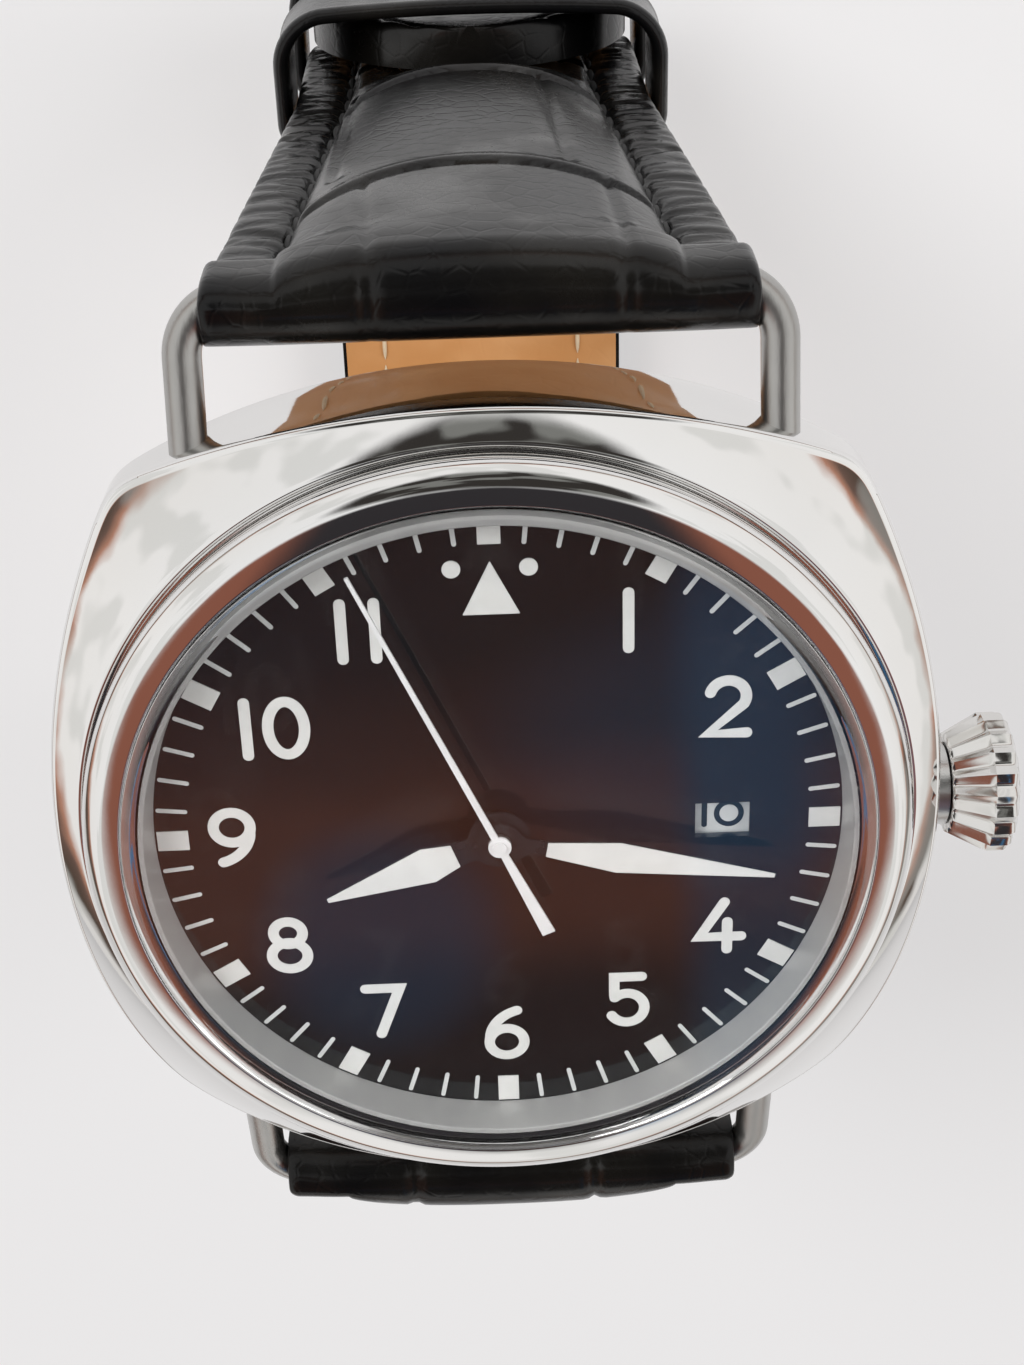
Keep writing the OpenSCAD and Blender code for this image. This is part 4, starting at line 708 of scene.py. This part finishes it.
# %% Date numbers
DATE_AT, DATE_TURN, DATE_SHOWN = 10.75, 2 * math.pi / 31, 10
DATE_H, DATE_W, DATE_PEN, DATE_SPREAD = 1.22, 1.9, 0.27, 1.75
disc_top = (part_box("date_disc")[1].z - DIAL_TOP) / MM
parts = []
for day in range(1, 32):
    turn = (DATE_SHOWN - day) * DATE_TURN
    at = (DATE_AT * math.cos(turn), DATE_AT * math.sin(turn))
    parts += drawn(str(day), at, DATE_H, DATE_W, DATE_PEN, disc_top, disc_top + 0.01, DATE_SPREAD, turn)
piece("date_numbers", gather(parts), print_black, body="date")

# %% [markdown]
# ## Leather
#
# The strap is one route: down the side at twelve, round a corner, along the table, round the
# other corner and up again. A table of places along that route turns (along, across, outwards)
# into space for any number of points. Each half is a sheet that folds round its bar, and the
# height of its outer side is a sum of parts: margin, crowned padding, stitching channel, creases
# and wrinkles. A tan lining lies inside each half, and the buckle's holes go through both.

# %% The route of the strap
SIDE_LEAN, SIDE_L, CORNER_IN, FAR_IN, ROUTE_STEP = 3.0, 44.0, 12.0, 14.0, 0.05
CORNER_TURN = math.radians(90 + SIDE_LEAN)
FLOOR_FROM, FLOOR_TO, LOOP_L = SIDE_L + CORNER_IN * CORNER_TURN, 88.309, 152.925
START_Y = BAR_Y - 2.15
stations = np.arange(-4, LOOP_L + 4, ROUTE_STEP)
heading = np.radians(np.interp(
    stations, [SIDE_L, FLOOR_FROM, FLOOR_TO, FLOOR_TO + FAR_IN * CORNER_TURN],
    [SIDE_LEAN, -90, -90, -180 - SIDE_LEAN]))
between = (heading[1:] + heading[:-1]) / 2
route_y = np.concatenate([[0], np.cumsum(ROUTE_STEP * np.sin(between))])
route_z = np.concatenate([[0], np.cumsum(-ROUTE_STEP * np.cos(between))])
route_y += START_Y - np.interp(0, stations, route_y)
route_z += BAR_Z - np.interp(0, stations, route_z)
print("route ends at", round(float(np.interp(LOOP_L, stations, route_y)), 2),
      round(float(np.interp(LOOP_L, stations, route_z)), 2))


def on_route(along, across, out):
    """Place of a point: so far along the route, so far across, so far outwards."""
    phi = np.interp(along, stations, heading)
    y = np.interp(along, stations, route_y) + out * np.cos(phi)
    z = np.interp(along, stations, route_z) + out * np.sin(phi)
    return np.stack(np.broadcast_arrays(across, y, z), -1)


# %% Height of the leather
STRAP_W, STRAP_END_W, NARROW_FROM, NARROW_L = 24.9, 20.8, 4, 28
WRAP_R, WRAP_L, MARGIN_W, BASE_H, EDGE_R = 2.15, 3.0, 3.3, 0.83, 0.55
STITCH_PITCH, WRINKLE_PITCH = 2.7, 1.15
MARGIN_H, FOLD_EDGE, FOLD_FULL = 2.4, 3.35, 4.65


def width_at(along):
    """Full width at the bar, then an even taper down to the ends' width."""
    return STRAP_W + (STRAP_END_W - STRAP_W) * np.clip((along - NARROW_FROM) / NARROW_L, 0, 1)


def pad_edge(half):
    """The share of its full width that the margin has, and where across the padding ends."""
    share = np.clip(half / (STRAP_END_W / 2), 0.02, 1)
    return share, half - MARGIN_W * share


def dent(distance, width, depth):
    """A groove: deepest at distance 0, gone two widths away."""
    return -depth * np.exp(-(distance / width) ** 2)


def wrinkles(along, across, from_edge, seed):
    """Short slanted dents that the stitches pull into the leather on both sides."""
    folds = np.random.default_rng(seed)
    length = float(np.max(along))
    count = int(length / WRINKLE_PITCH)
    height = 0 * across
    for side in (-1, 1):
        spots = np.arange(count) + folds.uniform(-0.35, 0.35, count)
        spots = WRAP_L + 0.8 + (length - WRAP_L) * spots / count
        slants = folds.uniform(-0.45, 0.45, count)
        for spot, slant, deep in zip(spots, slants, folds.uniform(0.05, 0.17, count)):
            gap = along - spot - slant * (from_edge - 1.5)
            height += (across * side > 0) * dent(gap, 0.26, deep)
    return height


def leather_top(along, across, half, pad, plates, uprights, seed):
    """Outer height of the leather: margin + (pad - margin) times (1 - t^2.4)^0.55, where t is 1
    at the edge of the padding, and then swell, stitching channel, creases and wrinkles. The
    margin is thick on the fold and pressed thin behind it. plates are (place, arch) of creases
    across the strap, uprights are (from, to, x, x2) of those along it."""
    share, edge_of_pad = pad_edge(half)
    t = np.clip(np.abs(across) / edge_of_pad, 0, 1)
    margin = FOLD_EDGE + (MARGIN_H - FOLD_EDGE) * smooth((along - 1.5) / 2.1)
    height = margin + (pad - margin) * np.clip(1 - t ** 2.4, 0, 1) ** 0.55
    from_edge = half - np.abs(across)
    in_margin = smooth((np.abs(across) - edge_of_pad) / 0.5)
    padded = smooth((along - WRAP_L) / 0.8)
    swell = 0.16 * np.sin(np.pi * np.clip(from_edge / (MARGIN_W * share), 0, 1))
    thread = 0.75 + 0.25 * np.cos(2 * np.pi * along / STITCH_PITCH)
    channel = dent(np.abs(across) - edge_of_pad - 0.12, 0.34, 0.42) * thread * share
    height += padded * (channel + in_margin * (swell + wrinkles(along, across, from_edge, seed)))
    for place, arch in plates:
        gap = along - place + arch * t ** 2
        height += dent(gap, 0.28, 0.34) * (1 - 0.75 * in_margin)
        height -= dent(gap - 0.75, 0.5, 0.10) * (1 - in_margin)
    for start, end, x, x2 in uprights:
        inside = smooth((along - start) / 0.5) * smooth((end - along) / 0.5)
        middle = x + (x2 - x) * np.clip((along - start) / (end - start), 0, 1)
        height += inside * dent(across - middle, 0.24, 0.22)
    return height


# %% One half of the strap
def column_places(half):
    """Places across the strap, from -half to half: closer together at the channel and the edge."""
    share, edge_of_pad = (row[:, None] for row in pad_edge(half))
    inner = np.concatenate([np.linspace(0, 0.9, 26)[1:], np.linspace(0.9, 1, 7)[1:]])
    outer = np.concatenate([np.linspace(1, 0.2, 20)[1:], [0.13, 0.08, 0.04, 0.015, 0.0]])
    right = np.concatenate([inner * edge_of_pad, half[:, None] - MARGIN_W * share * outer], 1)
    return np.concatenate([-right[:, ::-1], 0 * right[:, :1], right], 1)


def to_tip(start, end, spacing):
    """Even spacing, then places that crowd together over the last 3 mm."""
    return np.concatenate([np.arange(start, end - 3, spacing),
                           end - 3 * (1 - np.linspace(0, 1, 24)) ** 2])


def strap_half(along, place, width, lift, pad, plates, uprights, seed, tip=False):
    """Closed sheet: out along the top, back along the underside, and round the bar.
    place(distance from the bar) is the place along the route."""
    half = width(along) / 2
    x = column_places(half)
    grid = along[:, None] + 0 * x
    top = leather_top(grid, x, half[:, None], pad(grid), plates, uprights, seed)
    near_edge = np.clip((half[:, None] - np.abs(x)) / EDGE_R, 0, 1)
    rounding = EDGE_R * (1 - np.sqrt(np.clip(1 - (1 - near_edge) ** 2, 0, 1)))
    top = top - rounding
    under = BASE_H * smooth((grid - 1.2) / 0.8)
    if tip:
        left = np.clip(TIP_L - along[-1] + grid, 0, None)
        from_tip = TIP_L - np.sqrt(left ** 2 + np.where(left > 0, x, 0) ** 2)
        under = under * smooth((from_tip - 1.0) / 0.4)
    phi = np.radians(np.linspace(-90, 90, 26))[1:-1, None]
    fold_x = np.repeat(x[:1], len(phi), 0)
    creases = sum(dent(fold_x - line[2], 0.3, 0.2) for line in uprights if line[0] < 1)
    fold_r = 1.9 + 0.25 * smooth((half[0] - np.abs(fold_x)) / MARGIN_W) - rounding[:1] * 0.5 + creases
    fold_out = WRAP_R + np.sin(phi) * np.where(phi > 0, top[:1] - WRAP_R, WRAP_R)
    raise_by = lift(grid)
    sheet = [on_route(place(grid), x, top + raise_by),
             on_route(place(grid[::-1]), x[::-1], (under + raise_by)[::-1]),
             on_route(place(-fold_r * np.cos(phi)), fold_x, fold_out)]
    n, columns = x.shape
    points = np.concatenate([part.reshape(-1, 3) for part in sheet])
    faces = grid_faces(2 * n + len(phi), columns, True).tolist()
    i = np.arange(n - 1)
    for column in (0, columns - 1):
        up, down = i * columns + column, (2 * n - 1 - i) * columns + column
        faces += np.stack([up, down, down - columns, up + columns], -1).tolist()
        fold_side = [0, *range(2 * n - 1, 2 * n + len(phi))]
        faces.append([row * columns + column for row in fold_side])
    return points, faces


# %% Leather finish
def leather_finish(name, colour, worn, rough, pore=420):
    """Fine pores and a cell pattern in the bump, and a worn lighter tone in broad patches."""
    def recipe(net):
        spot = net.spot()
        cells = net.add("TexVoronoi", {"Vector": spot, "Scale": pore * 2.2}, feature="DISTANCE_TO_EDGE")
        fine = net.noise(spot, pore * 6, 4, 0.6)
        broad = net.noise(spot, 110)
        skin = cells.step(0.0, 0.12) * 0.6 + fine * 0.4
        return {"Base Color": net.blend(broad.step(0.35, 0.7), colour, worn),
                "Roughness": broad * 0.14 + fine * 0.08 + (rough - 0.11),
                "Normal": net.bump(skin, 0.22, 0.00005),
                "Specular IOR Level": 0.26, "Coat Weight": broad.step(0.5, 0.68) * 0.4,
                "Coat Roughness": 0.13}
    return finish(name, recipe)


leather = leather_finish("strap_leather", (0.0028, 0.0028, 0.0032), (0.0075, 0.0065, 0.0052), 0.25)
lining_tan = leather_finish("strap_lining", (0.56, 0.27, 0.10), (0.66, 0.36, 0.16), 0.6, 300)
thread_black = paint("thread_black", (0.012, 0.012, 0.012), 0.6, 0.6, 3000)
thread_cream = paint("thread_cream", (0.72, 0.60, 0.42), 0.7, 0.6, 3000)

# %% Both halves
SHORT_END = 57.195


def filled(s, padded):
    """The padding starts right behind the fold."""
    return FOLD_FULL + (padded - FOLD_FULL) * smooth(s / 1.4)


def short_pad(s):
    """Thick near the case, thinner from the keepers on."""
    return filled(s, 4.7 + (3.2 - 4.7) * smooth((s - 30) / 3.8))


short_half = (lambda s: s, width_at, lambda s: 0 * s)
short_plates = [(11.2, 3.6), (29.5, 3.6), (40.0, 2.5)]
short_uprights = [(-1, 10.6, -4.9, -5.5), (-1, 10.6, 6.6, 6.2), (11.6, 29.0, -7.0, -6.7),
                  (11.6, 29.0, 4.7, 3.8), (30, 40, -4.2, -4.6), (30, 40, 5.6, 5.4)]
along = np.append(np.arange(0, SHORT_END, 0.28), SHORT_END)
piece("strap_short_leather", strap_half(along, *short_half, short_pad, short_plates, short_uprights, 3),
      leather, ["strap_short_upper"], 60)

TAIL_END, TAIL_W, TIP_L, TAPER_L = 34.0, 19.6, 9.8, 20.0
LONG_L = LOOP_L - TAIL_END
TAIL_LIFT, RAMP_FROM, RAMP_TO = 3.45, FLOOR_FROM + 3.2, FLOOR_FROM - 5.65
PAD_END = FLOOR_TO - 12.5


def long_width(u):
    """Width of the long half: the strap's taper, then the tail's own, then its round tip."""
    left = LONG_L - u
    tail = TAIL_W + (STRAP_END_W - TAIL_W) * np.clip((left - TIP_L) / TAPER_L, 0, 1)
    tip = 2 * np.sqrt(np.clip(TIP_L ** 2 - np.clip(TIP_L - left, 0, None) ** 2, 0.3, None))
    return np.where(left > TIP_L + TAPER_L, width_at(u), np.minimum(tail, tip))


def long_pad(u):
    """Thick down to the table, flat under the tail that lies in the buckle."""
    return filled(u, 2.5 + (5.05 - 2.5) * smooth((LOOP_L - u - PAD_END + 5) / 5))


def long_lift(u):
    """The tail climbs a ramp and lies on top of the other half."""
    return TAIL_LIFT * smooth((RAMP_FROM - LOOP_L + u) / (RAMP_FROM - RAMP_TO))


long_plates = [(11.0, 2.6), (24, 1.2), (38, 1.0), (52, 0.8), (64, 0.8)]
long_uprights = [(-1, 10.3, -5.4, -5.8), (-1, 10.3, 4.6, 4.9), (10.9, 23.6, -4.2, -4.8),
                 (10.9, 23.6, 6.6, 6.2), (24.3, 37.7, -6.3, -6.1), (24.3, 37.7, 4.2, 4.0)]
long_half = (lambda u: LOOP_L - u, long_width, long_lift)
along = to_tip(0, LONG_L, 0.32)
points, faces = strap_half(along, *long_half, long_pad, long_plates, long_uprights, 5, True)
points[:, 2] = np.maximum(points[:, 2], 0.02 - DIAL_TOP / MM)
long_upper = piece("strap_long_leather", (points, faces), leather, ["strap_long_upper"], 60)

# %% Linings
TURNED_IN = 1.3


def lining_sheet(along, place, width, lift):
    """A thin sheet on the inside of the strap with a slightly rounded edge."""
    half = width(along)[:, None] / 2 - 0.3
    right = np.array([(0, 0.8), (0.5, 0.8), (0.97, 0.8), (1, 0.74), (1, 0.08), (0.97, 0), (0.5, 0), (0, 0)])
    ring = np.concatenate([right, right[1:-1][::-1] * (-1, 1)])
    grid = along[:, None] + 0 * ring[:, 0]
    out = lift(along)[:, None] + ring[:, 1]
    points = on_route(place(grid), half * ring[:, 0], out).reshape(-1, 3)
    return points, tube_faces(len(along), len(ring))


def inside_width(u):
    """At the tip the leather is turned in over the edge of the lining, so the lining is smaller."""
    left = LONG_L - u
    tip = np.clip((TIP_L - TURNED_IN) ** 2 - np.clip(TIP_L - left, 0, None) ** 2, 0.04, None)
    straight = long_width(u) - 2 * TURNED_IN * smooth((TIP_L + 8 - left) / 8)
    return np.where(left > TIP_L, straight, 2 * np.sqrt(tip))


short_sheet = lining_sheet(np.arange(2.4, SHORT_END - 2, 0.6), *short_half)
long_sheet = lining_sheet(to_tip(2.4, LONG_L - TURNED_IN, 0.6), long_half[0], inside_width, long_lift)
piece("strap_short_inside", short_sheet, lining_tan, ["strap_short_lining"], 50)
long_lining = piece("strap_long_inside", long_sheet, lining_tan, ["strap_long_lining"], 50)

# %% Holes in the long half
HOLE_R, HOLE_PITCH, HOLES, HOLE_SIDES, PUNCH = 1.1, 6.0, (-3, -2, -1, 1, 2), 32, (-1.0, 3.4)


def punched(target, cutters):
    """Cuts the cutters out of a piece and keeps the result as its mesh."""
    for cutter in cutters:
        cut = target.modifiers.new("hole", "BOOLEAN")
        cut.operation, cut.solver, cut.object = "DIFFERENCE", "FAST", cutter
    done = target.evaluated_get(bpy.context.evaluated_depsgraph_get())
    mesh = bpy.data.meshes.new_from_object(done)
    target.modifiers.clear()
    target.data = mesh
    print(target.name, "after the holes:", len(mesh.polygons), "faces")


cutters = []
a = once_round(HOLE_SIDES)
for k in HOLES:
    s = FLOOR_FROM + 0.5 + k * HOLE_PITCH
    lift = float(long_lift(LOOP_L - s))
    rings = [on_route(s + HOLE_R * np.sin(a), HOLE_R * np.cos(a), out + lift + 0 * a) for out in PUNCH]
    mesh = mesh_of("cutter", np.concatenate(rings), tube_faces(2, HOLE_SIDES))
    cutters.append(placed("cutter", mesh))
for half in (long_upper, long_lining):
    punched(half, cutters)
for cutter in cutters:
    bpy.data.objects.remove(cutter)

# %% Stitches
THREAD_SIDES, THREAD_ROWS, CHANNEL = 6, 7, MARGIN_W - 0.12


def stitches(end, place, width, lift, height, thick, raised):
    """Short bowed threads on both sides of the strap."""
    s = np.arange(4.6, end, STITCH_PITCH)
    sides = np.repeat([-1.0, 1.0], len(s))[:, None, None]
    s = np.tile(s, 2)[:, None, None]
    u = np.linspace(-1, 1, THREAD_ROWS)[:, None]
    v = once_round(THREAD_SIDES)
    bow = thick * np.sqrt(np.clip(1 - u ** 2, 0.02, 1))
    along = s + 0.42 * STITCH_PITCH * u + 0 * v
    x = sides * (width(s) / 2 - CHANNEL) + bow * np.cos(v)
    out = height + lift(along) + raised * (1 - u ** 2) + bow * np.sin(v)
    rows = on_route(place(along), x, out).reshape(len(s), -1, 3)
    return gather([(points, tube_faces(THREAD_ROWS, THREAD_SIDES)) for points in rows])


def threads(*where):
    """The rows of both halves at one height."""
    return gather([stitches(SHORT_END - 3, *short_half, *where), stitches(LONG_L - 12, *long_half, *where)])


piece("strap_threads", threads(2.12, 0.2, 0.12), thread_black)
piece("lining_threads", threads(-0.02, 0.16, -0.05), thread_cream)

# %% [markdown]
# ## Keepers
#
# A keeper is a folded band of the same leather. Its inner outline is a rectangle with round
# corners and a slightly arched top. Each point of the outline knows which way looks outwards, and
# the band's section, a soft rectangle with thicker turned-in edges, grows that way.

# %% Keepers
KEEPER_TOP_R, KEEPER_LOW_R, KEEPER_ARCH, KEEPER_IN, KEEPER_WALL = 2.2, 1.0, 0.45, 10.65, 0.9


def keeper_path(low, high):
    """Inner outline of a keeper, and at every point of it the way that looks outwards."""
    flat = np.linspace(1, -1, 17)[1:-1]

    def quarter(side, z, r, start):
        a = np.radians(np.linspace(start, start + 90, 14))
        way = np.stack([np.cos(a), np.sin(a)], -1)
        return (side * (KEEPER_IN - r), z) + r * way, way

    def level(r, z, way):
        x = (KEEPER_IN - r) * flat * way
        return np.stack([x, z + 0 * x], -1), np.stack([0 * x, way + 0 * x], -1)

    top, foot = high - KEEPER_TOP_R, low + KEEPER_LOW_R
    runs = [quarter(1, top, KEEPER_TOP_R, 0), level(KEEPER_TOP_R, high, 1),
            quarter(-1, top, KEEPER_TOP_R, 90), quarter(-1, foot, KEEPER_LOW_R, 180),
            level(KEEPER_LOW_R, low, -1), quarter(1, foot, KEEPER_LOW_R, 270)]
    path, outwards = map(np.concatenate, zip(*runs))
    path[:, 1] += KEEPER_ARCH * (1 - (path[:, 0] / KEEPER_IN) ** 2) * np.clip(outwards[:, 1], 0, 1)
    return path, outwards


def keeper_band(start, length, low, high):
    """A closed band: the outline round the strap times a soft closed section."""
    path, outwards = keeper_path(low, high)
    t = once_round(28)
    along = np.sign(np.cos(t)) * np.abs(np.cos(t)) ** 0.45 * length / 2
    thick = np.sign(np.sin(t)) * np.abs(np.sin(t)) ** 0.7 * 0.5 + 0.5
    hem = -dent(np.abs(along) - length / 2 + 0.55, 0.4, 0.14) * (np.sin(t) > 0)
    x, out = (path[:, k, None] + outwards[:, k, None] * (KEEPER_WALL * thick + hem) for k in (0, 1))
    centre = start + length / 2
    phi = np.interp(centre, stations, heading)
    points = on_route(centre, x, out) + along[:, None] * (0, math.sin(phi), -math.cos(phi))
    return points.reshape(-1, 3), grid_faces(len(path), len(t), True, True)


piece("keeper_floating", keeper_band(33.0, 6.5, -0.3, 6.2), leather,
      ["floating_keeper"], 60, "keeper")
piece("keeper_fixed", keeper_band(45.5, 5.0, -0.35, 6.55), leather, ["fixed_keeper"], 60)

# %% [markdown]
# ## The rest of the frame
#
# The dial, the hands and the whole movement keep their solids. Each slot of the record gets its
# own finish. The solids' meshes are loose triangles, so a Weld joins their corners, and an Edge
# Split keeps the real edges crisp.

# %% Finishes by slot
def dial_recipe(net):
    """Black lacquer under a clear gloss, with a faint orange-peel."""
    peel = net.noise(net.spot(), 220, 2)
    return {"Base Color": net.blend(peel, (0.003, 0.003, 0.0035), (0.005, 0.0045, 0.0045)),
            "Roughness": peel * 0.06 + 0.10, "Coat Weight": 0.6, "Coat Roughness": 0.06,
            "Normal": net.bump(peel, 0.03, 0.00005)}


def ruby_recipe(net):
    """Deep red that wanders, under a clear polish."""
    depth = net.noise(net.spot(), 900, 2)
    return {"Base Color": net.blend(depth, (0.55, 0.01, 0.06), (0.8, 0.04, 0.14)), "Roughness": 0.05,
            "Coat Weight": 1.0}


slot_finish = {
    "polished_steel": polished, "steel": turned, "crystal": crystal,
    "black_dial": finish("dial", dial_recipe),
    "white_seal": paint("seal", (0.72, 0.72, 0.72), 0.5),
    "rubber": paint("rubber", (0.02, 0.02, 0.02), 0.7),
    "lume": lume, "white_print": print_white,
    "hand_black": paint("hand_black", (0.012, 0.012, 0.013), 0.25, 0.1),
    "hand_white": paint("hand_white", (0.72, 0.72, 0.72), 0.35, 0.1),
    "movement_plate": steel("plates", (0.66, 0.65, 0.62), 0.25, 0.3, (1, 8, 1), 500),
    "brass": steel("brass", (0.80, 0.58, 0.26), 0.2, 0.15),
    "blued_steel": steel("blued", (0.04, 0.08, 0.36), 0.18, 0.1),
    "jewel": finish("ruby", ruby_recipe),
    "holder": paint("holder", (0.55, 0.55, 0.55), 0.5),
    "strap_black": leather, "strap_lining": lining_tan,
}
slot_of = {row["node"]: row["material_slot"] for row in frame["record"]["subparts"]}
for name, node in nodes.items():
    node.data.materials.clear()
    node.data.materials.append(slot_finish[slot_of[name]])
    node.data.polygons.foreach_set("use_smooth", np.ones(len(node.data.polygons), bool))
    weld = node.modifiers.new("weld", "WELD")
    weld.merge_threshold = 2e-6
    split = node.modifiers.new("edges", "EDGE_SPLIT")
    split.split_angle = math.radians(32)
print("finished nodes:", len(nodes))
